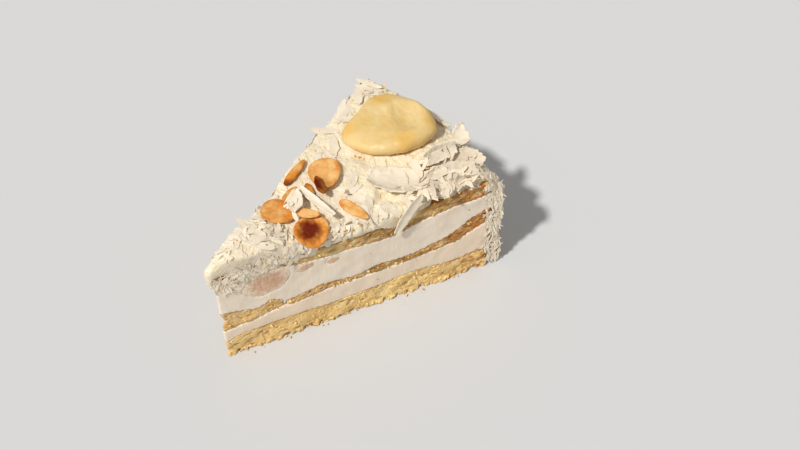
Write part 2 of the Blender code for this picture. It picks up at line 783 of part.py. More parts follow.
def main():
    clear_scene()
    sponge = finish("Sponge", (0.60, 0.42, 0.19), 0.85)
    cream = finish("Cream filling", (0.76, 0.68, 0.55), 0.55, 0.1)
    coat = finish("Whipped cream and shavings", (0.86, 0.77, 0.61), 0.6, 0.1)
    shaved = finish("White shavings", (0.88, 0.80, 0.67), 0.5, 0.1)
    fruit = finish("Pineapple", (0.78, 0.58, 0.22), 0.25, 0.2)
    soaked = finish("Pineapple in cream", (0.48, 0.33, 0.22), 0.4, 0.1)
    nut = finish("Toasted almond", (0.75, 0.38, 0.12), 0.45)

    radii = radii_of_grid()
    tip_radii = radii[: TIP_CELLS + 1]
    main_radii = radii[TIP_CELLS + 1 :]
    layers = {
        "sponge_base": (layer(radii, None, BASE_TOP, 3, SPONGE_RELIEF), sponge),
        "cream_lower": (layer(radii, BASE_TOP, MIDDLE_UNDER, 1, CREAM_RELIEF), cream),
        "sponge_middle_tip": (layer(tip_radii, MIDDLE_UNDER, MIDDLE_TOP, 2, SPONGE_RELIEF), sponge),
        "sponge_middle": (layer(main_radii, MIDDLE_UNDER, MIDDLE_TOP, 2, SPONGE_RELIEF), sponge),
        "cream_upper": (layer(radii, MIDDLE_TOP, TOP_UNDER, 2, CREAM_RELIEF), cream),
        "sponge_top": (layer(radii, TOP_UNDER, TOP_TOP, 2, SPONGE_RELIEF), sponge),
    }
    solids = {name: write_solid(name, bm, material) for name, (bm, material) in layers.items()}
    boolean_with(solids["cream_upper"], [cream_plug()], "UNION")
    boolean_with(solids["cream_upper"], [lump_body(lump, GAP) for lump in LUMPS], "DIFFERENCE")
    others = [body_of(bm) for bm, _ in layers.values()]
    for lump in LUMPS:
        bm = flush_lump(lump)
        solids[lump.name] = write_solid(lump.name, bm, soaked)
        others.append(body_of(bm))

    frosting = frosting_body(radii)
    solids["frosting"] = write_solid("frosting", frosting, coat)
    resting = [body_of(frosting)]

    chunk = chunk_body(fruit)
    bmesh.ops.translate(chunk, vec=(0, 0, FAR_AWAY), verts=chunk.verts[:])
    settle(chunk, resting, DOWN, GAP)
    solids["pineapple_chunk"] = write_solid("pineapple_chunk", chunk, fruit, smooth=True)
    resting.append(body_of(chunk))

    for flake in FLAKES:
        bm = dropped(almond_sheet(flake), flake, resting)
        solids[flake.name] = write_solid(flake.name, bm, nut, smooth=True)
        resting.append(body_of(bm))
    for number, petal in enumerate(PETALS):
        sheet = curled_sheet(petal, PETAL_CELLS, PETAL_ACROSS, number * MARK_STEP)
        bm = dropped(sheet, petal, resting)
        solids[petal.name] = write_solid(petal.name, bm, shaved, smooth=True)
        resting.append(body_of(bm))
    stick = stick_body(STICK)
    settle(stick, resting + others, -cut_normal(-1), GAP)
    solids[STICK.name] = write_solid(STICK.name, stick, shaved, smooth=True)
    resting.append(body_of(stick))

    loose = fused_shavings(frosting, others + resting[1:])
    boolean_with(solids["frosting"], loose, "UNION")
    centre_on_base(list(solids.values()))


main()
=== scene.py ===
"""Looks of one slice of a round layered cake with pineapple and toasted almonds.

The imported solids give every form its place. Each class below takes one sort of thing in the slice,
builds a finer mesh over its solid, and dresses it. Lengths are in millimetres unless a name says
otherwise, and MM turns them into the scene's metres.
"""

from __future__ import annotations

import logging
import math
import random
from dataclasses import dataclass, field
from enum import Enum
from typing import Any, Callable, Iterable, Sequence

import bmesh
import bpy
import numpy as np
from mathutils import Euler, Matrix, Vector, noise
from mathutils.bvhtree import BVHTree

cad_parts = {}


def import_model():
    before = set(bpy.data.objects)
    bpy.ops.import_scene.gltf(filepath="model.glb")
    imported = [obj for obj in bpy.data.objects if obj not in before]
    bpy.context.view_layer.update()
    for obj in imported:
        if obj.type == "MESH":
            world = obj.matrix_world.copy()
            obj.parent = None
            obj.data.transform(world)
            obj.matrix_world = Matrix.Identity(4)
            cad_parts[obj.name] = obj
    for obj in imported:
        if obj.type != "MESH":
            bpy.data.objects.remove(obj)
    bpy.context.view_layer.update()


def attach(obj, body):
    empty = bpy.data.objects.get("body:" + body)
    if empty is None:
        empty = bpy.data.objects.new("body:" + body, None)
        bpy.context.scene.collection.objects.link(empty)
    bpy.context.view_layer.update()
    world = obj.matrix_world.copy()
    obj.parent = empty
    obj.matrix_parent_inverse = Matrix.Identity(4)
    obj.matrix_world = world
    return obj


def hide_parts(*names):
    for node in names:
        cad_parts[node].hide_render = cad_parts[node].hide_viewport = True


LOG = logging.getLogger("slice")
MM = 0.001
UP, DOWN = Vector((0, 0, 1)), Vector((0, 0, -1))
ABOVE, BELOW = 90.0, -9.0
Colour = tuple[float, float, float, float]
Piece, Socket, Array = bpy.types.Object, bpy.types.NodeSocket, np.ndarray
Materials = dict[str, bpy.types.Material]


class Side(Enum):
    """The two cuts of the slice, by the sign of their place across it."""

    NEAR = -1
    FAR = 1


def shade(red: int, green: int, blue: int) -> Colour:
    """Turns a colour as a screen shows it, 0 to 255, into linear light by the sRGB curve.

    Args:
        red: Red as shown.
        green: Green as shown.
        blue: Blue as shown.

    Returns:
        The linear colour with full opacity.
    """
    shown = [value / 255 for value in (red, green, blue)]
    linear = [v / 12.92 if v <= 0.04045 else ((v + 0.055) / 1.055) ** 2.4 for v in shown]
    return (linear[0], linear[1], linear[2], 1.0)


@dataclass(frozen=True)
class Ramp:
    """A smooth step from 0 at its start to 1 at its end."""

    start: float
    end: float

    def of(self, values: Array) -> Array:
        """The step at each number."""
        share = np.clip((values - self.start) / (self.end - self.start), 0, 1)
        return share * share * (3 - 2 * share)


@dataclass(frozen=True)
class Noise:
    """Layered noise, about -1 to 1: the size of its largest features, its shift, and its layers."""

    size: Sequence[float] | float
    seed: float
    octaves: int = 3
    weight: float = 0.8
    finer: float = 2.0

    def at(self, points: Array) -> Array:
        """The noise at each point."""
        scaled = points / np.asarray(self.size, float) + self.seed
        return np.array([noise.fractal(Vector(p), self.weight, self.finer, self.octaves) for p in scaled])


@dataclass(frozen=True)
class Pits:
    """Rounded holes of uneven size, as a rising dough leaves: the largest fill a share of their spacing."""

    spacing: Sequence[float]
    seed: float
    fill: float
    smallest: float = 0.25
    wall: float = 0.55

    def at(self, points: Array) -> Array:
        """Depth at each point, from 0 outside a hole to 1 at its middle."""
        depths = np.zeros(len(points))
        for index, place in enumerate(points / np.asarray(self.spacing, float) + self.seed):
            near, centres = noise.voronoi(Vector(place))
            draw = abs(noise.cell(centres[0] * 3.7))
            radius = self.fill * (self.smallest + (1 - self.smallest) * draw)
            depths[index] = min(1.0, max(0.0, (radius - near[0]) / (self.wall * radius)))
        return depths


def only(obj: Piece) -> None:
    """Selects one object alone and makes it active."""
    for other in bpy.context.selected_objects:
        other.select_set(False)
    obj.select_set(True)
    bpy.context.view_layer.objects.active = obj


def finish_with(obj: Piece, kind: str, **settings: Any) -> None:
    """Adds a modifier and applies it.

    Args:
        obj: The piece.
        kind: Blender's name for the modifier.
        **settings: The modifier's settings.
    """
    only(obj)
    modifier = obj.modifiers.new(kind.title(), kind)
    for name, value in settings.items():
        setattr(modifier, name, value)
    bpy.ops.object.modifier_apply(modifier=modifier.name)


def remesh(obj: Piece, voxel: float) -> None:
    """Rebuilds a piece from even cells of a size."""
    finish_with(obj, "REMESH", mode="VOXEL", voxel_size=voxel * MM)


def soften(obj: Piece, rounds: int, **settings: Any) -> None:
    """Smooths a piece a number of times."""
    finish_with(obj, "SMOOTH", factor=0.5, iterations=rounds, **settings)


def read(items: Any, name: str, width: int = 3, kind: type = float) -> Array:
    """Reads one attribute of every corner, edge, face or loop of a mesh.

    Args:
        items: The mesh's collection of them.
        name: Blender's name for the attribute.
        width: How many numbers each of them has.
        kind: Type of the numbers.

    Returns:
        One row for each of them.
    """
    flat = np.empty(len(items) * width, kind)
    items.foreach_get(name, flat)
    return flat.reshape(-1, width)


def corners_of(obj: Piece) -> Array:
    """The mesh's corners in millimetres, one a row."""
    return read(obj.data.vertices, "co") / MM


def set_corners(obj: Piece, points: Array) -> None:
    """Puts the mesh's corners at places in millimetres."""
    obj.data.vertices.foreach_set("co", (points * MM).ravel())
    obj.data.update()


def normals_of(obj: Piece) -> Array:
    """Outward direction at each corner."""
    return read(obj.data.vertex_normals, "vector")


def face_centres(obj: Piece) -> Array:
    """Middle of each face in millimetres."""
    return read(obj.data.polygons, "center") / MM


def paint(obj: Piece, name: str, values: Array) -> None:
    """Stores one number for each corner, for a material to read.

    Args:
        obj: The piece.
        name: Name of the attribute.
        values: One number for each corner.
    """
    stored = obj.data.attributes.get(name) or obj.data.attributes.new(name, "FLOAT", "POINT")
    stored.data.foreach_set("value", np.asarray(values, np.float32))


def add_piece(name: str, mesh: bpy.types.Mesh) -> Piece:
    """Makes a piece of a mesh."""
    piece = bpy.data.objects.new(name, mesh)
    bpy.context.scene.collection.objects.link(piece)
    return piece


def copy_of_solid(node: str, name: str, grow: float = 0.0) -> Piece:
    """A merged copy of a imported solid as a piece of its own.

    Args:
        node: Name of the solid.
        name: Name of the new piece.
        grow: How far every face moves outwards.

    Returns:
        The new piece.
    """
    bm = bmesh.new()
    bm.from_mesh(bpy.data.objects[node].data)
    bmesh.ops.remove_doubles(bm, verts=bm.verts[:], dist=1e-6)
    bmesh.ops.recalc_face_normals(bm, faces=bm.faces[:])
    bm.normal_update()
    for corner in bm.verts:
        corner.co += corner.normal * grow * MM
    mesh = bpy.data.meshes.new(name)
    bm.to_mesh(mesh)
    bm.free()
    return add_piece(name, mesh)


def tree_of(*pieces: Piece) -> BVHTree:
    """One search tree of one piece or several, in millimetres."""
    points: list[Vector] = []
    faces: list[tuple[int, ...]] = []
    for piece in pieces:
        faces += [tuple(len(points) + corner for corner in face.vertices) for face in piece.data.polygons]
        points += [Vector(p) for p in corners_of(piece)]
    return BVHTree.FromPolygons(points, faces)


def split_faces(obj: Piece, chosen: Array) -> None:
    """Halves the edges of the chosen faces.

    Args:
        obj: The piece.
        chosen: True for each face to split.
    """
    only(obj)
    bpy.ops.object.mode_set(mode="EDIT")
    bpy.ops.mesh.select_mode(type="FACE")
    bpy.ops.mesh.select_all(action="DESELECT")
    bpy.ops.object.mode_set(mode="OBJECT")
    obj.data.polygons.foreach_set("select", np.asarray(chosen, bool))
    bpy.ops.object.mode_set(mode="EDIT")
    bpy.ops.mesh.subdivide(number_cuts=1)
    bpy.ops.object.mode_set(mode="OBJECT")


def dress(obj: Piece, material: bpy.types.Material, slot: str, *nodes: str) -> Piece:
    """Gives a piece its material, hangs it on the root and hides the solids that it replaces.

    Args:
        obj: The piece.
        material: Its finish.
        slot: The record's material slot; not used.
        *nodes: The solids that it replaces.

    Returns:
        The piece.
    """
    obj.data.materials.clear()
    obj.data.materials.append(material)
    obj.data.shade_smooth()
    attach(obj, "root")
    if nodes:
        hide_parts(*nodes)
    LOG.info("%s: %d faces", obj.name, len(obj.data.polygons))
    return obj


@dataclass(frozen=True)
class Wedge:
    """Where the slice stands: its tip, the angle between its cuts, and its length."""

    tip_x: float = -61.37
    tip_y: float = -0.278
    half_angle: float = math.radians(18.5)
    rim: float = 117.0

    def out_of(self, side: Side) -> Array:
        """Unit vector that points out of a cut."""
        return np.array([-math.sin(self.half_angle), side.value * math.cos(self.half_angle), 0.0])

    def along(self, side: Side) -> Array:
        """Unit vector from the tip along a cut."""
        return np.array([math.cos(self.half_angle), side.value * math.sin(self.half_angle), 0.0])

    def on_cut(self, side: Side, distance: float, height: float, out: float = 0.0) -> Array:
        """A place on a cut.

        Args:
            side: Which cut.
            distance: Distance from the tip.
            height: Height above the floor.
            out: Distance out of the cut.

        Returns:
            The place.
        """
        foot = np.array([self.tip_x, self.tip_y, height])
        return foot + self.along(side) * distance + self.out_of(side) * out

    def from_tip(self, x: float, y: float, height: float) -> Array:
        """A place given from the tip, x towards the rim and y towards the far cut."""
        return np.array([self.tip_x + x, self.tip_y + y, height])

    def around_tip(self, distance: float, angle: float) -> tuple[float, float]:
        """How far along and across from the tip a place lies at a distance and angle from it."""
        return distance * math.cos(angle), distance * math.sin(angle)

    def inside(self, points: Array, side: Side) -> Array:
        """How far each point lies inside a cut."""
        return -(points - [self.tip_x, self.tip_y, 0]) @ self.out_of(side)

    def depth(self, points: Array) -> Array:
        """How far each point lies inside the nearer cut."""
        return np.minimum(self.inside(points, Side.NEAR), self.inside(points, Side.FAR))

    def distance(self, points: Array) -> Array:
        """Distance of each point from the upright line through the tip."""
        return np.hypot(points[:, 0] - self.tip_x, points[:, 1] - self.tip_y)

    def away_from(self, points: Array, x: float, y: float) -> Array:
        """Level distance of each point from a place given from the tip."""
        return np.linalg.norm((points - self.from_tip(x, y, 0))[:, :2], axis=1)


class Net:
    """A node tree that is put together a node at a time."""

    def __init__(self, tree: bpy.types.NodeTree) -> None:
        """Starts from a tree."""
        self.tree = tree

    def add(self, kind: str, inputs: dict[str | int, Any], **settings: Any) -> bpy.types.Node:
        """Adds a node.

        Args:
            kind: Blender's name for the node.
            inputs: A value or an output socket for each input.
            **settings: The node's own settings.

        Returns:
            The node.
        """
        node = self.tree.nodes.new(kind)
        for key, value in settings.items():
            setattr(node, key, value)
        self.feed((node.inputs[socket], value) for socket, value in inputs.items())
        return node

    def feed(self, pairs: Iterable[tuple[Socket, Any]]) -> None:
        """Links each input to an output socket, or sets it to a value.

        Args:
            pairs: The inputs, each with its socket or value.
        """
        for socket, value in pairs:
            if isinstance(value, Socket):
                self.tree.links.new(value, socket)
            else:
                socket.default_value = value


class Patterns:
    """Shader node groups that several finishes share."""

    def __init__(self) -> None:
        """Builds the groups once."""
        self.mottle = self._mottle()
        self.grain = self._grain()

    @staticmethod
    def _start(name: str, **inputs: str) -> tuple[Net, Any]:
        """Starts a group.

        Args:
            name: The group's name.
            **inputs: Socket type of each input.

        Returns:
            The group's tree, and the sockets that it is given.
        """
        tree = bpy.data.node_groups.new(name, "ShaderNodeTree")
        for socket, kind in inputs.items():
            tree.interface.new_socket(socket, in_out="INPUT", socket_type=f"NodeSocket{kind}")
        return Net(tree), tree.nodes.new("NodeGroupInput").outputs

    @staticmethod
    def _end(net: Net, name: str, kind: str, value: Socket) -> bpy.types.NodeTree:
        """Gives a group its output.

        Args:
            net: The group's tree.
            name: Name of the output.
            kind: Socket type of the output.
            value: What it puts out.

        Returns:
            The group.
        """
        net.tree.interface.new_socket(name, in_out="OUTPUT", socket_type=f"NodeSocket{kind}")
        net.add("NodeGroupOutput", {name: value})
        return net.tree

    def _mottle(self) -> bpy.types.NodeTree:
        """Builds the group for two colours in soft uneven patches."""
        net, given = self._start("Mottle", Vector="Vector", Scale="Float", Low="Color", High="Color",
                                 Sharpness="Float")
        cloud = net.add("ShaderNodeTexNoise", {"Vector": given["Vector"], "Scale": given["Scale"],
                                               "Detail": 5.0, "Roughness": 0.6})
        low, high = (net.add("ShaderNodeMath", {0: 0.5, 1: given["Sharpness"]}, operation=operation)
                     for operation in ("SUBTRACT", "ADD"))
        spread = net.add("ShaderNodeMapRange", {"Value": cloud.outputs["Fac"], "From Min": low.outputs[0],
                                                "From Max": high.outputs[0]})
        mix = net.add("ShaderNodeMix", {"Factor": spread.outputs["Result"], "A": given["Low"],
                                        "B": given["High"]}, data_type="RGBA")
        return self._end(net, "Colour", "Color", mix.outputs["Result"])

    def _grain(self) -> bpy.types.NodeTree:
        """Builds the group for fine relief, drawn out along the axes by Stretch."""
        net, given = self._start("Grain", Vector="Vector", Stretch="Vector", Scale="Float")
        drawn = net.add("ShaderNodeVectorMath", {0: given["Vector"], 1: given["Stretch"]},
                        operation="MULTIPLY")
        cloud = net.add("ShaderNodeTexNoise", {"Vector": drawn.outputs[0], "Scale": given["Scale"],
                                               "Detail": 3.0})
        return self._end(net, "Height", "Float", cloud.outputs["Fac"])


@dataclass(frozen=True)
class Mottle:
    """Soft patches between two colours: how small they are, and how sharp their edges."""

    low: Colour
    high: Colour
    scale: float
    sharpness: float


@dataclass(frozen=True)
class Grain:
    """Fine relief: how fine, how drawn out, and whether it follows a thin piece's own length and width."""

    scale: float
    stretch: tuple[float, float, float] = (1.0, 1.0, 1.0)
    on_map: bool = False


@dataclass(frozen=True)
class Spread:
    """A stored number or a grain, of which the range from start to end counts as 0 to high."""

    source: str | Grain
    start: float
    end: float
    high: float


@dataclass(frozen=True)
class Layer:
    """A colour over those before it: how much of it shows, and Blender's name for the way of mixing."""

    share: float | str | Spread
    colour: Colour | Mottle
    mode: str = "MIX"


@dataclass(frozen=True)
class Finish:
    """A material: its first colour, the layers over it, bumps with their depths, and how it takes light."""

    name: str
    first: Colour | Mottle
    layers: tuple[Layer, ...]
    bumps: tuple[tuple[Grain, float], ...]
    light: dict[str, Any]


class Wiring(Net):
    """The nodes of one finish's material."""

    def __init__(self, finish: Finish, patterns: Patterns) -> None:
        """Puts the material together.

        Args:
            finish: What it looks like.
            patterns: The shared node groups.
        """
        self.patterns = patterns
        self.material = bpy.data.materials.new(finish.name)
        self.material.use_nodes = True
        super().__init__(self.material.node_tree)
        coords = self.add("ShaderNodeTexCoord", {}).outputs
        self.place, self.surface = coords["Object"], coords["UV"]
        colour = self.source(finish.first)
        for layer in finish.layers:
            colour = self.blend(colour, layer)
        bumped: dict[str | int, Any] = {}
        for grain, depth in finish.bumps:
            bump = {"Strength": 1.0, "Distance": depth * MM, "Height": self.source(grain), **bumped}
            bumped = {"Normal": self.add("ShaderNodeBump", bump).outputs["Normal"]}
        inputs = self.tree.nodes["Principled BSDF"].inputs
        fed = {"Base Color": colour, **bumped, **finish.light}
        self.feed((inputs[name], value) for name, value in fed.items())

    def source(self, item: Any) -> Any:
        """What feeds an input.

        Args:
            item: A mottle, a grain, a spread, the name of a stored number, or a plain value.

        Returns:
            The output socket that it comes from, or the value itself.
        """
        if isinstance(item, str):
            return self.add("ShaderNodeAttribute", {}, attribute_name=item).outputs["Fac"]
        if isinstance(item, Mottle):
            inputs = {"Vector": self.place, "Scale": item.scale, "Low": item.low, "High": item.high,
                      "Sharpness": item.sharpness}
            return self.add("ShaderNodeGroup", inputs, node_tree=self.patterns.mottle).outputs["Colour"]
        if isinstance(item, Grain):
            inputs = {"Vector": self.surface if item.on_map else self.place, "Scale": item.scale,
                      "Stretch": item.stretch}
            return self.add("ShaderNodeGroup", inputs, node_tree=self.patterns.grain).outputs["Height"]
        if isinstance(item, Spread):
            inputs = {"Value": self.source(item.source), "From Min": item.start, "From Max": item.end,
                      "To Min": 0.0, "To Max": item.high}
            return self.add("ShaderNodeMapRange", inputs).outputs["Result"]
        return item

    def blend(self, below: Any, layer: Layer) -> Socket:
        """Puts one layer over a colour.

        Args:
            below: The lower colour.
            layer: The layer.

        Returns:
            The mixed colour.
        """
        node = self.add("ShaderNodeMix", {}, data_type="RGBA", blend_type=layer.mode)
        colours = [socket for socket in node.inputs if socket.type == "RGBA"]
        given = (self.source(layer.share), below, self.source(layer.colour))
        self.feed(zip((node.inputs["Factor"], *colours), given))
        return next(socket for socket in node.outputs if socket.type == "RGBA")


def glow(weight: float, tint: tuple[float, float, float], scale: float) -> dict[str, Any]:
    """How much light goes under a surface, how far each colour of it goes, and the depth in metres."""
    return {"Subsurface Weight": weight, "Subsurface Radius": tint, "Subsurface Scale": scale}


def shaving(name: str, ivory: Colour, white: Colour) -> Finish:
    """White shavings, ivory to near white by their tone, with fine scrape marks along each one; on some faces
    the tone is painted light and shade.
    """
    cloud = Mottle(shade(230, 214, 188), shade(240, 229, 208), 300.0, 0.2)
    return Finish(name, ivory, (Layer("tone", white), Layer(0.4, cloud)),
                  ((Grain(1500.0), 0.03), (Grain(1.0, (2.0, 9.0, 1.0), on_map=True), 0.04)),
                  {"Roughness": 0.6, "Specular IOR Level": 0.3})


SOAKED_FIBRE = Grain(700.0, (1.0, 1.0, 0.2))
FINISHES = {
    # Baked sponge: a yellow crumb with browned skins, with painted shade that darkens its pits and its upper
    # layers.
    "sponge": Finish(
        "Sponge", Mottle(shade(226, 180, 106), shade(247, 219, 150), 700.0, 0.16),
        (Layer(0.45, Mottle(shade(238, 196, 118), shade(255, 230, 166), 130.0, 0.15)),
         Layer("dusk", shade(176, 152, 112), "MULTIPLY"), Layer("smear", shade(238, 218, 182)),
         Layer("skin", shade(192, 116, 46)), Layer(Spread("pore", 0.1, 0.8, 0.4), shade(160, 104, 48))),
        ((Grain(2600.0), 0.12), (Grain(1100.0), 0.2)),
        {"Roughness": 0.85, **glow(0.08, (1.0, 0.6, 0.3), 0.0012)}),
    # Whipped filling, cut smooth, with faint upright drag marks, and a warmer, more orange tint where a layer
    # gives one.
    "filling": Finish(
        "Filling", Mottle(shade(238, 220, 196), shade(246, 233, 214), 90.0, 0.22),
        (Layer(Spread(Grain(300.0, (1.0, 1.0, 0.25)), 0.4, 0.8, 0.08), shade(236, 214, 184)),
         Layer("stain", shade(236, 206, 170))),
        ((Grain(1500.0), 0.03), (Grain(500.0, (1.0, 1.0, 0.6)), 0.03)),
        {"Roughness": 0.48, **glow(0.15, (1.0, 0.8, 0.55), 0.002)}),
    # The cream under the shavings, and those half sunk in it; painted shade makes it yellower in the creases
    # and towards the rim.
    "coat": Finish(
        "Coat", Mottle(shade(229, 213, 183), shade(241, 230, 208), 220.0, 0.18),
        (Layer(Spread("crease", 0.1, 1.0, 0.7), shade(226, 206, 158)),),
        ((Grain(2400.0), 0.05), (Grain(900.0), 0.12)),
        {"Roughness": 0.6, **glow(0.35, (1.0, 0.9, 0.7), 0.002)}),
    "shaving": shaving("Shaving", shade(221, 204, 178), shade(244, 232, 211)),
    # The same in large flat pieces, which take the light whole, so their ivory is painted darker as shade.
    "petal": shaving("Petal", shade(194, 178, 154), shade(240, 227, 204)),
    # Preserved pineapple: softly glossy, translucent and pale yellow, golden where it is thin; the gold on
    # its sunlit left end is also painted shade.
    "pineapple": Finish(
        "Pineapple", Mottle(shade(220, 185, 112), shade(227, 204, 152), 55.0, 0.16),
        (Layer("rim", shade(222, 177, 86)),),
        ((Grain(1400.0), 0.03), (Grain(260.0, (1.0, 0.25, 1.0)), 0.12)),
        {"Roughness": 0.46, **glow(0.5, (1.0, 0.75, 0.4), 0.003), "Coat Weight": 0.12,
         "Coat Roughness": 0.35, "IOR": 1.4}),
    # Pineapple in the cream, cut across its fibres.
    "soaked": Finish(
        "Soaked pineapple", Mottle(shade(204, 160, 130), shade(232, 194, 162), 160.0, 0.2),
        (Layer(Spread(SOAKED_FIBRE, 0.42, 0.62, 0.35), shade(178, 132, 100)),
         Layer("rim", shade(238, 218, 190))),
        ((SOAKED_FIBRE, 0.15),),
        {"Roughness": 0.5, **glow(0.3, (1.0, 0.7, 0.5), 0.002)}),
    # Toasted almond flake: amber, browner at its edge, and burnt where stored so.
    "almond": Finish(
        "Almond", shade(236, 192, 127),
        (Layer("toast", shade(218, 144, 60)),
         Layer(0.5, Mottle(shade(236, 214, 188), shade(255, 250, 240), 350.0, 0.2), "MULTIPLY"),
         Layer("rim", shade(150, 72, 22)), Layer("burn", shade(104, 30, 2))),
        ((Grain(1600.0), 0.05), (Grain(1.0, (3.0, 14.0, 1.0), on_map=True), 0.16)),
        {"Roughness": 0.5, **glow(0.1, (1.0, 0.5, 0.2), 0.0012), "Specular IOR Level": 0.1}),
    # Loose crumbs, each its own shade between baked brown and pale sponge.
    "crumb": Finish(
        "Crumb", shade(174, 110, 48),
        (Layer("tone", shade(250, 222, 160)),
         Layer(0.4, Mottle(shade(220, 190, 140), shade(255, 250, 235), 900.0, 0.2), "MULTIPLY")),
        ((Grain(2400.0), 0.15),), {"Roughness": 0.8}),
}


def all_materials() -> Materials:
    """Every material of the slice, made once around the same patterns."""
    patterns = Patterns()
    return {name: Wiring(finish, patterns).material for name, finish in FINISHES.items()}


class Look:
    """What the pieces over the solids have in common: a solid, a material slot and a finish."""

    node: str
    slot: str
    finish: str

    def shape(self, wedge: Wedge) -> Piece:
        """Shapes the mesh over the solid, which each sort of piece does in its own way."""
        raise NotImplementedError

    def build(self, wedge: Wedge, materials: Materials) -> Piece:
        """Builds the piece over its solid.

        Args:
            wedge: The slice.
            materials: The finishes, ready made.

        Returns:
            The piece.
        """
        return dress(self.shape(wedge), materials[self.finish], self.slot, self.node)


@dataclass
class LayerBand:
    """Lower and upper height of a layer along one cut, measured on its solid."""

    side: Side
    stations: Array
    low: Array
    high: Array
    step = 1.0
    inset = -1.3

    @classmethod
    def measured(cls, tree: BVHTree, wedge: Wedge, side: Side, first: float, last: float) -> LayerBand:
        """Measures a layer a step at a time, just inside a cut.

        Args:
            tree: Search tree of the layer's solid.
            wedge: The slice.
            side: Which cut.
            first: Distance of the first station from the tip.
            last: Distance of the last one.

        Returns:
            The band.
        """
        rows = []
        for distance in np.arange(first, last, cls.step):
            over = tree.ray_cast(Vector(wedge.on_cut(side, distance, ABOVE, cls.inset)), DOWN)[0]
            under = tree.ray_cast(Vector(wedge.on_cut(side, distance, BELOW, cls.inset)), UP)[0]
            if over is not None and under is not None:
                rows.append((distance, under.z, over.z))
        return cls(side, *np.array(rows).T)

    def at(self, distances: Array) -> tuple[Array, Array]:
        """Lower and upper height at each distance from the tip."""
        return np.interp(distances, self.stations, self.low), np.interp(distances, self.stations, self.high)


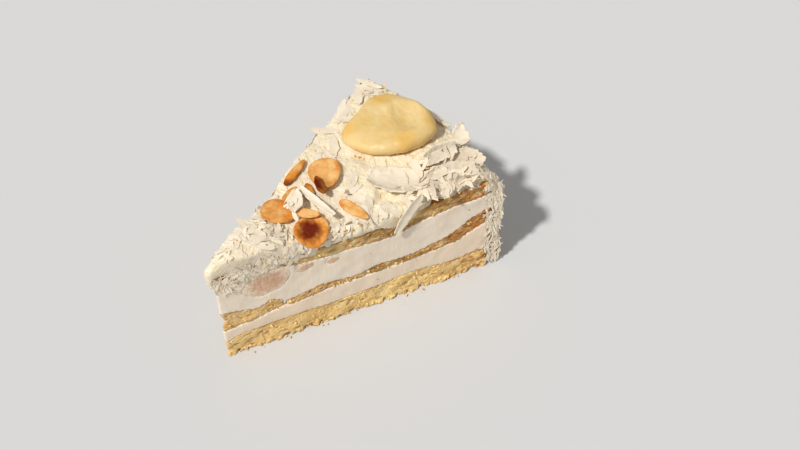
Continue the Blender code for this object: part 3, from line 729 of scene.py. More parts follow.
@dataclass
class SpongeLayer(Look):
    """One layer of sponge: crumbly and pitted on its cuts, with browned skins."""

    node: str
    name: str
    crumbs: int
    first: float = 2.0
    last: float = 116.0
    voxel: float = 0.7
    grow: float = 0.17
    fine_depth: float = 1.6
    cut_depth: float = 1.3
    big_pit: float = 0.5
    small_pit: float = 0.25
    crumble: float = 0.14
    swell: float = 0.35
    lip: float = 0.25
    fray: float = 0.8
    ragged_foot: float = 0.0
    foot_lift: float = 1.3
    browning: float = 1.0
    tip_tan: float = 0.14
    skin_width: float = 0.75
    # Painted shade: how much darker the layer is painted, more so towards the rim.
    dusk: float = 0.0
    smear: float = 0.1
    painted_shade_along: tuple[float, float] = (0.45, 0.55)
    painted_shade_patches: float = 1.2
    less_wiped: float = 0.25
    bite: float = 1.8
    line_brown: tuple[float, float] = (0.45, 0.45)
    rim_brown: tuple[float, float] = (0.15, 0.85)
    # Painted shade: how much the small pits count in the darkening of the pits.
    small_pit_shade: float = 0.7
    bands: list[LayerBand] = field(default_factory=list)
    slot = finish = "sponge"
    patches, wipes = Noise((9, 9, 4), 6.1, 2), Noise((5.5, 5.5, 1.7), 15.1)
    big_pits, small_pits = Pits((4.6, 4.6, 2.2), 3.1, 0.46), Pits((1.9, 1.9, 1.1), 8.7, 0.5)
    lumps, swells = Noise((1.6, 1.6, 1.2), 5.3), Noise(7.0, 1.7, 2)
    bites, lifts = Noise(3.2, 9.9), Noise(2.1, 4.4)
    frays, spots, skins = Noise((2.0, 2.0, 0.9), 7.1), Noise((3.2, 3.2, 1.8), 12.5), Noise((5, 5, 2), 2.2, 2)
    dusk_length, wipe_length, wiped = Ramp(35, 75), Ramp(50, 90), Ramp(-0.05, 0.3)
    inward, from_rim, foot = Ramp(0.7, 1.3), Ramp(-0.2, 0.9), Ramp(0.4, 2.6)
    spotted, skinned, outer, tip_length = Ramp(-0.05, 0.3), Ramp(-0.35, 0.3), Ramp(84, 113), Ramp(25, 60)

    def shape(self, wedge: Wedge) -> Piece:
        """Shapes the layer, and measures its bands along the two cuts.

        Args:
            wedge: The slice.

        Returns:
            The piece.
        """
        piece = copy_of_solid(self.node, self.name, self.grow)
        tree = tree_of(piece)
        self.bands = [LayerBand.measured(tree, wedge, side, self.first, self.last) for side in Side]
        remesh(piece, self.voxel)
        split_faces(piece, wedge.depth(face_centres(piece)) < self.fine_depth)
        points = corners_of(piece)
        skin, pore = np.zeros(len(points)), np.zeros(len(points))
        distance = wedge.distance(points)
        # Painted shade: the layer is darkened in patches, more towards the rim.
        longer = self.painted_shade_along[0] + self.painted_shade_along[1] * self.dusk_length.of(distance)
        patchy = 1 + self.painted_shade_patches * self.patches.at(points)
        paint(piece, "dusk", np.clip(self.dusk * longer * patchy, 0, 1))
        wiped = self.wiped.of(self.wipes.at(points) - self.less_wiped * self.wipe_length.of(distance))
        paint(piece, "smear", self.smear * wiped)
        for band in self.bands:
            self._cut_face(points, wedge, band, skin, pore)
        points[:, 2] = np.maximum(points[:, 2], 0)
        set_corners(piece, points)
        paint(piece, "skin", skin)
        paint(piece, "pore", pore)
        return piece

    def _cut_face(self, points: Array, wedge: Wedge, band: LayerBand, skin: Array,
                  pore: Array) -> None:
        """Pits and roughens one cut, notes where it is browned, and notes how deep its pits are for the
        painted shade in them.

        Args:
            points: The layer's corners, which are moved.
            wedge: The slice.
            band: The layer's band along this cut.
            skin: Browning of each corner, which is filled in.
            pore: Depth of pits at each corner, which is filled in.
        """
        depth = wedge.inside(points, band.side)
        chosen = np.where(depth < self.cut_depth)[0]
        own = points[chosen]
        shallow = 1 - self.inward.of(depth[chosen])
        distance = wedge.distance(own)
        low, high = band.at(distance)
        big, small = self.big_pits.at(own), self.small_pits.at(own)
        from_edge = np.minimum(own[:, 2] - low, high - own[:, 2])
        heart = self.from_rim.of(from_edge)
        out = self.crumble * self.lumps.at(own) + self.swell * self.swells.at(own)
        out = out - heart * (self.big_pit * big + self.small_pit * small)
        if self.ragged_foot:
            foot, level = 1 - self.foot.of(own[:, 2]), own * [1, 1, 0]
            out += foot * self.ragged_foot * np.clip(self.bites.at(level) * self.bite, -1, 1)
            lift = foot * np.clip(self.lifts.at(level) + 0.1, 0, 1) * self.foot_lift
            points[chosen, 2] += lift * shallow
        ragged = self.fray * np.clip(self.frays.at(own) + 0.1, -0.4, 1)
        ragged *= (1 - heart) * shallow
        points[chosen, 2] += np.where(own[:, 2] - low < high - own[:, 2], -ragged, ragged)
        out += self.lip * (1 - heart)
        points[chosen] += (out * shallow)[:, None] * wedge.out_of(band.side)
        spots = self.spotted.of(self.spots.at(own))
        edge_line = np.exp(-((from_edge / self.skin_width) ** 2)) * self.skinned.of(self.skins.at(own))
        outer = self.outer.of(distance)
        lines = edge_line * (self.line_brown[0] + self.line_brown[1] * outer)
        rim = outer * (self.rim_brown[0] + self.rim_brown[1] * spots)
        baked = self.browning * (lines + rim) + self.tip_tan * (1 - self.tip_length.of(distance))
        skin[chosen] = np.maximum(skin[chosen], np.clip(baked, 0, 1))
        # Painted shade: the deeper a pit, the darker its colour is painted.
        pore[chosen] = np.maximum(pore[chosen], heart * np.clip(big + self.small_pit_shade * small, 0, 1))


@dataclass
class FillingLayer(Look):
    """One layer of cream between sponges, cut smooth with a few drag marks."""

    node: str
    name: str
    voxel: float = 0.8
    grow: float = 0.17
    fine_depth: float = 1.2
    cut_depth: float = 0.9
    drag: float = 0.03
    sag: float = 0.25
    # How much warmer and more orange the layer's colour is tinted.
    stain: float = 0.0
    slot, finish = "cream", "filling"
    drags, sags = Noise((1.1, 1.1, 9.0), 6.6), Noise(8.0, 2.9, 2)
    inward = Ramp(0.4, 0.9)

    def shape(self, wedge: Wedge) -> Piece:
        """Shapes the layer.

        Args:
            wedge: The slice.

        Returns:
            The piece.
        """
        piece = copy_of_solid(self.node, self.name, self.grow)
        remesh(piece, self.voxel)
        split_faces(piece, wedge.depth(face_centres(piece)) < self.fine_depth)
        points = corners_of(piece)
        for side in Side:
            depth = wedge.inside(points, side)
            chosen = np.where(depth < self.cut_depth)[0]
            own = points[chosen]
            out = self.drag * self.drags.at(own) + self.sag * self.sags.at(own)
            points[chosen] += (out * (1 - self.inward.of(depth[chosen])))[:, None] * wedge.out_of(side)
        set_corners(piece, points)
        paint(piece, "stain", np.full(len(points), self.stain))
        return piece


@dataclass
class SunkenShavings:
    """Relief of the shavings that are half sunk in the coat: many thin plates, the highest on top."""

    count: int = 3600
    seed: int = 5
    length: tuple[float, float] = (2.5, 9.0)
    width: tuple[float, float] = (1.2, 4.2)
    taper: tuple[float, float] = (0.2, 0.8)
    to_a_point: float = 1.4
    depth: float = 0.6
    level: tuple[float, float] = (-0.5, 0.0)
    highest: float = 0.06
    slope: float = 0.06
    bow: float = 0.08
    cup: float = 0.14
    feather: float = 0.4
    ragged: float = 0.35
    standing: float = 0.15
    flattest: float = 0.75
    sideways: float = 0.55
    tears, lying = Noise(1.3, 4.2, 2), Ramp(-0.05, 0.35)

    def _along(self, out: Array, rng: np.random.Generator) -> Array:
        """Direction of one shaving: any way on the top, mostly upright on a wall.

        Args:
            out: Direction out of the surface.
            rng: The random draws.

        Returns:
            A unit vector along the surface.
        """
        turn = rng.uniform(0, 2 * math.pi)
        flat = np.array([math.cos(turn), math.sin(turn), 0.0])
        guess = flat if out[2] > self.flattest else np.array([0.0, 0.0, 1.0]) + self.sideways * flat
        guess = guess - (guess @ out) * out
        return guess / max(np.linalg.norm(guess), 1e-6)

    def heights(self, points: Array, out: Array) -> Array:
        """Height of the relief at each corner of the coat.

        Args:
            points: The corners.
            out: Outward direction at each.

        Returns:
            Heights from minus the depth up to about 0.
        """
        rng = np.random.default_rng(self.seed)
        order = np.argsort(points[:, 0])
        sorted_x = points[order, 0]
        torn = self.ragged * self.tears.at(points)
        height = np.full(len(points), -self.depth)
        for start in rng.choice(len(points), self.count, replace=False):
            middle, up = points[start], out[start]
            half = rng.uniform(*self.length) / 2
            broad = min(rng.uniform(*self.width) / 2, half)
            first, last = np.searchsorted(sorted_x, (middle[0] - half, middle[0] + half))
            near = order[first:last]
            away = points[near] - middle
            kept = (np.abs(away).max(axis=1) < half + 0.5) & (out[near] @ up > 0.5)
            near, away = near[kept], away[kept]
            along = self._along(up, rng)
            a, b = away @ along, away @ np.cross(up, along)
            b = b + rng.uniform(-self.bow, self.bow) * a * a / half
            waist = broad * (1 - rng.uniform(*self.taper) * np.clip(a / half, 0, 1) ** self.to_a_point)
            edge = np.minimum(waist - np.abs(b), half - np.abs(a)) + torn[near]
            plate = rng.uniform(*self.level) + rng.normal(0, self.slope) * a + rng.normal(0, self.slope) * b
            plate = plate + rng.uniform(-1, 1) * self.cup * (b / broad) ** 2
            raised = -self.depth + (plate + self.depth) * Ramp(0, self.feather).of(edge)
            height[near] = np.maximum(height[near], raised)
        calm = self.standing + (1 - self.standing) * self.lying.of(out[:, 2])
        return np.minimum(height, self.highest) * calm


def hollows_of(piece: Piece, height: Array, steps: int, full: float) -> Array:
    """How far each corner lies in a crease of a relief.

    Args:
        piece: The piece.
        height: Height of the relief at each corner.
        steps: How widely the relief is averaged.
        full: Depth under the average that counts as a full crease.

    Returns:
        Numbers from 0 to 1.
    """
    ends = read(piece.data.edges, "vertices", 2, np.int32)
    first, second = ends.T
    links = np.bincount(ends.ravel(), minlength=len(height))
    mean = height
    for _ in range(steps):
        total = np.bincount(first, mean[second], len(height)) + np.bincount(second, mean[first], len(height))
        mean = 0.5 * mean + 0.5 * total / np.maximum(links, 1)
    return np.clip((mean - height) / full, 0, 1)


@dataclass
class Coat(Look):
    """The cream over the top, the tip and the rim, with the shavings that are half sunk in it."""

    node: str = "frosting"
    voxel: float = 0.88
    grow: float = 0.12
    fluff: float = 0.08
    roll: float = 1.9
    overhang: float = 2.0
    deepest: float = 0.22
    highest: float = 0.08
    rounds: int = 3
    softenings: tuple[int, int, int] = (4, 2, 8)
    upright: float = 0.1
    buried: float = 1.5
    crease_steps: int = 8
    crease_depth: float = 0.2
    # Painted shade: how much yellower and darker the coat is painted towards the rim.
    age: float = 0.22
    slot = finish = "coat"
    fluffs = Noise(1.9, 7.7)
    from_edge, near_top, aged = Ramp(-1.0, 4.5), Ramp(48.0, 54.0), Ramp(35, 85)

    def shape(self, wedge: Wedge) -> Piece:
        """Shapes the coat, its edges rolled down.

        Args:
            wedge: The slice.

        Returns:
            The piece.
        """
        piece = copy_of_solid(self.node, "coat", self.grow)
        remesh(piece, self.voxel)
        soften(piece, self.softenings[0])
        points = corners_of(piece)
        edge = np.minimum(wedge.depth(points), wedge.rim + self.overhang - wedge.distance(points))
        points[:, 2] -= self.roll * (1 - self.from_edge.of(edge)) * self.near_top.of(points[:, 2])
        set_corners(piece, points)
        return piece

    def _outer_faces(self, piece: Piece, wedge: Wedge) -> Array:
        """True for each face that does not lie against the layers."""
        points, out = face_centres(piece), read(piece.data.polygons, "normal")
        away = points - [wedge.tip_x, wedge.tip_y, 0]
        away[:, 2] = 0
        away /= np.maximum(np.linalg.norm(away, axis=1), 1.0)[:, None]
        inner = (out[:, 2] < self.upright) & ((out * away).sum(axis=1) < self.upright)
        return ~((wedge.depth(points) > self.buried) & inner)

    def settle_under(self, piece: Piece, wedge: Wedge, grounds: Sequence[Ground]) -> None:
        """Fills the coat up to just under the shavings that lie on it, and presses others half into it.

        Args:
            piece: The coat.
            wedge: The slice.
            grounds: The soft surfaces of its faces.
        """
        for _ in range(self.rounds):
            for ground in grounds:
                points, out = corners_of(piece), normals_of(piece)
                set_corners(piece, ground.press(points, out, self.deepest, self.highest))
            soften(piece, self.softenings[1])
        remesh(piece, self.voxel)
        split_faces(piece, self._outer_faces(piece, wedge))
        soften(piece, self.softenings[2])
        points, out = corners_of(piece), normals_of(piece)
        height = SunkenShavings().heights(points, out) + self.fluff * self.fluffs.at(points)
        moved = points + out * height[:, None]
        moved[:, 2] = np.maximum(moved[:, 2], 0)
        set_corners(piece, moved)
        # Painted shade: the creases of the relief, and the coat further from the tip, are painted yellower
        # and darker.
        creases = hollows_of(piece, height, self.crease_steps, self.crease_depth)
        paint(piece, "crease", np.clip(creases + self.age * self.aged.of(wedge.distance(moved)), 0, 1))


def round_off(piece: Piece, levels: int = 3) -> None:
    """Smooths a coarse mesh and stretches it back to the reach of its solid.

    Args:
        piece: The piece.
        levels: How often its faces are divided.
    """
    before = corners_of(piece)
    axes = np.linalg.svd(before - before.mean(axis=0), full_matrices=False)[2]
    finish_with(piece, "SUBSURF", levels=levels, render_levels=levels)
    solid, smooth = before @ axes.T, corners_of(piece) @ axes.T
    low, high = solid.min(axis=0), solid.max(axis=0)
    share = (smooth - smooth.min(axis=0)) / np.ptp(smooth, axis=0)
    set_corners(piece, (low + share * (high - low)) @ axes)


def lay_surface_map(piece: Piece) -> Array:
    """Gives a thin piece a UV map along its length and width.

    Args:
        piece: The piece.

    Returns:
        Place of each corner along the length and width, from -0.5 to 0.5.
    """
    points = corners_of(piece)
    middle = points.mean(axis=0)
    axes = np.linalg.svd(points - middle, full_matrices=False)[2]
    flat = (points - middle) @ axes[:2].T
    share = flat / (flat.max(axis=0) - flat.min(axis=0))
    corners = read(piece.data.loops, "vertex_index", 1, np.int32)[:, 0]
    surface = piece.data.uv_layers.new(name="along")
    surface.data.foreach_set("uv", (share[corners] + 0.5).ravel())
    return share


@dataclass
class Petal(Look):
    """A large white shaving with torn edges."""

    node: str
    tear: float = 0.5
    sink: float = 0.3
    tone: float = 0.8
    sharp: float = 0.35
    wave: float = 0.16
    broad_tears: float = 0.5
    torn_out: float = 0.25
    rim_gain: float = 2.2
    shades: float = 0.2
    slot, finish = "shaving", "petal"

    def _rim_of(self, piece: Piece) -> Array:
        """1 for each corner on the sharp rim of a thin sheet, 0 on its faces."""
        bm = bmesh.new()
        bm.from_mesh(piece.data)
        bm.normal_update()
        around = [[face.normal for face in corner.link_faces] for corner in bm.verts]
        bends = [min((a.dot(b) for a in normals for b in normals), default=1) for normals in around]
        bm.free()
        return np.array([float(bend < self.sharp) for bend in bends])

    def shape(self, wedge: Wedge) -> Piece:
        """Shapes the shaving: rounded off, then torn outwards along its rim.

        Args:
            wedge: The slice.

        Returns:
            The piece.
        """
        piece = copy_of_solid(self.node, f"{self.node}_look")
        paint(piece, "rim", self._rim_of(piece))
        round_off(piece)
        rim = read(piece.data.attributes["rim"].data, "value", 1, np.float32)[:, 0]
        lay_surface_map(piece)
        points = corners_of(piece)
        middle = points.mean(axis=0)
        seed = float(len(self.node)) + middle[0]
        reach = points - middle
        torn = Noise(1.7, seed, 4).at(points) + self.broad_tears * Noise(5.0, seed + 3, 2).at(points)
        outward = reach / np.maximum(np.linalg.norm(reach, axis=1), 0.1)[:, None]
        points += outward * (self.tear * (torn + self.torn_out) * np.clip(rim * self.rim_gain, 0, 1))[:, None]
        points += normals_of(piece) * (self.wave * Noise(4.5, seed).at(points))[:, None]
        points[:, 2] -= self.sink
        set_corners(piece, points)
        paint(piece, "tone", np.clip(self.tone + self.shades * Noise(6.0, seed, 2).at(points), 0, 1))
        return piece


@dataclass
class AlmondFlake(Look):
    """A toasted almond flake with a browner rim, burnt in places."""

    node: str
    toast: float = 0.6
    rim: float = 0.5
    burn: float = 0.0
    burn_place: tuple[float, float] = (0.0, 0.0)
    burn_size: float = 3.0
    sink: float = 0.3
    wave: float = 0.12
    uneven_rim: float = 0.12
    uneven_burn: float = 0.4
    rim_toast: tuple[float, float] = (0.5, 0.6)
    uneven_toast: float = 0.8
    slot = finish = "almond"
    to_rim, burning, halo = Ramp(0.82, 1.05), Ramp(0.1, 1.3), Ramp(0.7, 1.9)

    def shape(self, wedge: Wedge) -> Piece:
        """Shapes the flake, and notes its toast, rim and burn.

        Args:
            wedge: The slice.

        Returns:
            The piece.
        """
        piece = copy_of_solid(self.node, f"{self.node}_look")
        round_off(piece)
        share = lay_surface_map(piece)
        points = corners_of(piece)
        seed = points[:, 0].mean()
        spread = np.hypot(share[:, 0], share[:, 1]) * 2
        cloud = Noise(4.0, seed).at(points)
        points += normals_of(piece) * (self.wave * Noise(1.6, seed).at(points))[:, None]
        points[:, 2] -= self.sink
        set_corners(piece, points)
        paint(piece, "rim", self.rim * self.to_rim.of(spread + self.uneven_rim * cloud))
        edge = self.burn_size * (1 + self.uneven_burn * Noise(2.4, seed + 5).at(points))
        from_burn = wedge.away_from(points, *self.burn_place) / edge
        paint(piece, "burn", np.clip(self.burn * (1 - self.burning.of(from_burn)), 0, 1))
        halo = min(self.burn, 1.0) * (1 - self.halo.of(from_burn))
        browner = self.rim_toast[0] * (spread - self.rim_toast[1]) + self.uneven_toast * cloud + halo
        paint(piece, "toast", np.clip(self.toast + browner, 0, 1))
        return piece


@dataclass
class PineappleChunk(Look):
    """The piece of pineapple on top, golden where it is thin; each golden place has a radius and a share, and
    the one on the sunlit left end is also painted shade.
    """

    node: str = "pineapple_chunk"
    voxel: float = 0.45
    sink: float = 0.6
    swell: float = 0.15
    wave: float = 0.3
    dent: tuple[float, float] = (99.2, 3.2)
    dent_reach: float = 7.0
    softenings: tuple[int, int] = (14, 120)
    faces_up: float = 0.2
    base_gold: float = 0.6
    base_reach: float = 0.6
    golden: tuple[tuple[float, float, float, float], ...] = (
        (102.7, 19.1, 6.0, 0.85), (80.8, 17.0, 5.5, 0.8), (93.7, -5.0, 6.0, 0.7), (110.5, -5.5, 6.5, 0.7))
    slot = finish = "pineapple"
    waves, dented, gilded = Noise(6.0, 3.0), Ramp(5.0, 7.0), Ramp(0.2, 1.2)

    def shape(self, wedge: Wedge) -> Piece:
        """Shapes the chunk, its dent smoothed longest, and notes where it is golden.

        Args:
            wedge: The slice.

        Returns:
            The piece.
        """
        piece = copy_of_solid(self.node, "pineapple_top")
        remesh(piece, self.voxel)
        soften(piece, self.softenings[0])
        from_dent = wedge.away_from(corners_of(piece), *self.dent)
        group = piece.vertex_groups.new(name="dent")
        for corner in np.where((from_dent < self.dent_reach) & (normals_of(piece)[:, 2] > self.faces_up))[0]:
            group.add([int(corner)], float(1 - self.dented.of(from_dent[corner])), "REPLACE")
        soften(piece, self.softenings[1], vertex_group="dent")
        points = corners_of(piece)
        points += normals_of(piece) * (self.wave * self.waves.at(points) + self.swell)[:, None]
        points[:, 2] -= self.sink
        set_corners(piece, points)
        low, high = points[:, 2].min(), points[:, 2].max()
        gold = self.base_gold * (1 - Ramp(low + 1, low + self.base_reach * (high - low)).of(points[:, 2]))
        # Painted shade: the golden place at the left end also darkens the side that faces the sun.
        for x, y, radius, share in self.golden:
            gold = np.maximum(gold, share * (1 - self.gilded.of(wedge.away_from(points, x, y) / radius)))
        paint(piece, "rim", gold)
        return piece


@dataclass
class SoakedPiece(Look):
    """A piece of pineapple in the cream, level with the cut; it spreads a little over the cream's edge."""

    node: str
    voxel: float = 0.3
    spread: float = 0.8
    proud: float = 0.22
    fibre: float = 0.06
    sunk_rim: float = 0.3
    blur: float = 0.3
    slot, finish = "pineapple_inside", "soaked"
    fibres, blurs = Noise((0.7, 0.7, 4.0), 2.0, 2), Noise((1.6, 1.6, 1.6), 3.3)
    soaking, to_rim = Ramp(0.4, 1.0), Ramp(0.85, 1.0)

    def shape(self, wedge: Wedge) -> Piece:
        """Shapes the piece, flush with the cream round it.

        Args:
            wedge: The slice.

        Returns:
            The piece.
        """
        piece = copy_of_solid(self.node, f"{self.node}_look", self.spread)
        remesh(piece, self.voxel)
        points, out = corners_of(piece), normals_of(piece)
        fibres = self.fibres.at(points)
        flush = FillingLayer.sag * FillingLayer.sags.at(points) - (self.spread - self.proud)
        points += flush[:, None] * wedge.out_of(Side.NEAR) + out * (self.fibre * fibres)[:, None]
        set_corners(piece, points)
        middle, reach = points.mean(axis=0), np.ptp(points, axis=0) / 2
        from_middle = np.linalg.norm((points - middle)[:, [0, 2]] / reach[[0, 2]], axis=1)
        paint(piece, "rim", self.soaking.of(from_middle + self.blur * self.blurs.at(points)))
        points -= self.sunk_rim * self.to_rim.of(from_middle)[:, None] * wedge.out_of(Side.NEAR)
        set_corners(piece, points)
        return piece


@dataclass(frozen=True)
class Model:
    """A small thing that is modelled once and copied: corners, faces and UV of each face corner."""

    points: Array
    faces: list[tuple[int, ...]]
    surface: Array

    @classmethod
    def taken_from(cls, obj: Piece) -> Model:
        """Reads a modelled object and removes it.

        Args:
            obj: The object, in millimetres.

        Returns:
            The model.
        """
        mesh = obj.data
        points = read(mesh.vertices, "co")
        surface = read(mesh.uv_layers[0].data, "uv", 2) if mesh.uv_layers else np.zeros((len(mesh.loops), 2))
        faces = [tuple(face.vertices) for face in mesh.polygons]
        bpy.data.objects.remove(obj, do_unlink=True)
        bpy.data.meshes.remove(mesh)
        return cls(points, faces, surface)


class Cut(Enum):
    """Kinds of white shaving: length, width, thickness, cells along and across, and how far it bends."""

    NEEDLE = (6.5, 0.8, 0.12, 4, 1, 12)
    SPLINTER = (4.8, 1.6, 0.1, 3, 1, 8)
    PLANK = (8.0, 3.0, 0.1, 7, 2, 8)
    CURL = (6.0, 2.8, 0.14, 6, 1, 60)
    CHIP = (2.9, 2.1, 0.1, 2, 2, 6)


@dataclass(frozen=True)
class ShavingModeller:
    """Models one white shaving as by hand: a grid drawn out, torn, bent and thickened."""

    cut: Cut
    seed: int
    tear: float = 0.14
    slant: float = 0.9
    point: tuple[float, float] = (0.2, 0.85)
    heel: float = 0.3
    powers: tuple[float, int] = (1.4, 3)
    bow: float = 0.07
    cup: float = 0.05
    bending: tuple[float, float] = (0.7, 1.25)
    twist: float = 8.0

    def build(self) -> Model:
        """Models the shaving.

        Returns:
            The model.
        """
        length, width, thickness, cells, across, bend = self.cut.value
        rng = random.Random(self.seed)
        bpy.ops.mesh.primitive_grid_add(x_subdivisions=cells, y_subdivisions=across, size=1)
        obj = bpy.context.object
        bpy.ops.object.mode_set(mode="EDIT")
        bpy.ops.mesh.select_all(action="SELECT")
        bpy.ops.transform.resize(value=(length, width, 1))
        bpy.ops.transform.vertex_random(offset=self.tear * width, uniform=0.7, normal=0, seed=self.seed)
        bpy.ops.object.mode_set(mode="OBJECT")
        slant, point = rng.uniform(-self.slant, self.slant), rng.uniform(*self.point)
        bow = rng.uniform(-self.bow, self.bow)
        for corner in obj.data.vertices:
            share = 2 * corner.co.x / length
            corner.co.x += slant * corner.co.y
            front = point * max(0.0, share) ** self.powers[0]
            back = self.heel * max(0.0, -share) ** self.powers[1]
            corner.co.y *= 1 - front - back
            corner.co.y += bow * length * share * share
            corner.co.z = self.cup * width * (2 * corner.co.y / width) ** 2
        turn = math.radians(bend * rng.uniform(*self.bending))
        finish_with(obj, "SIMPLE_DEFORM", deform_method="BEND", deform_axis="Y", angle=turn)
        turn = math.radians(rng.uniform(-self.twist, self.twist))
        finish_with(obj, "SIMPLE_DEFORM", deform_method="TWIST", deform_axis="X", angle=turn)
        finish_with(obj, "SOLIDIFY", thickness=thickness, offset=0.0)
        return Model.taken_from(obj)


def model_of_crumb(seed: int) -> Model:
    """Models one crumb as a ball knocked out of round.

    Args:
        seed: Start of the knocks.

    Returns:
        The model, one millimetre across.
    """
    bpy.ops.mesh.primitive_ico_sphere_add(subdivisions=1, radius=0.5)
    obj = bpy.context.object
    bpy.ops.object.mode_set(mode="EDIT")
    bpy.ops.mesh.select_all(action="SELECT")
    bpy.ops.transform.vertex_random(offset=0.2, uniform=0.3, normal=0.4, seed=seed)
    bpy.ops.transform.resize(value=(1.25, 0.95, 0.8))
    bpy.ops.object.mode_set(mode="OBJECT")
    return Model.taken_from(obj)


class Flock:
    """Many copies of a few models, joined into one piece."""

    sharpest = math.radians(40)

    def __init__(self, name: str) -> None:
        """Starts an empty flock with the name of its piece."""
        self.name = name
        self.points: list[Array] = []
        self.faces: list[tuple[int, ...]] = []
        self.surface: list[Array] = []
        self.tones: list[Array] = []
        self.count = 0

    def add(self, model: Model, points: Array, tone: float) -> None:
        """Adds a copy of a model.

        Args:
            model: The model.
            points: Its corners where the copy lies.
            tone: Shade of the copy, from 0 to 1.
        """
        self.faces += [tuple(self.count + corner for corner in face) for face in model.faces]
        self.points.append(points)
        self.surface.append(model.surface)
        self.tones.append(np.full(len(points), tone))
        self.count += len(points)

    def build(self, material: bpy.types.Material, slot: str) -> None:
        """Joins the copies.

        Args:
            material: Finish of the piece.
            slot: The record's material slot.
        """
        mesh = bpy.data.meshes.new(self.name)
        mesh.from_pydata((np.concatenate(self.points) * MM).tolist(), [], self.faces)
        surface = mesh.uv_layers.new(name="along")
        surface.data.foreach_set("uv", np.concatenate(self.surface).ravel())
        piece = add_piece(self.name, mesh)
        paint(piece, "tone", np.concatenate(self.tones))
        dress(piece, material, slot)
        mesh.set_sharp_from_angle(angle=self.sharpest)


def beside(field_of: Array, pick: Callable[..., Array], outside: float) -> Array:
    """The highest or lowest of the four cells round each cell of a map.

    Args:
        field_of: The map.
        pick: Highest or lowest, as numpy's function.
        outside: What counts as lying past the map's edge.

    Returns:
        A map of the same size.
    """
    wide = np.pad(field_of, 1, constant_values=outside)
    return pick([wide[:-2, 1:-1], wide[2:, 1:-1], wide[1:-1, :-2], wide[1:-1, 2:]], axis=0)


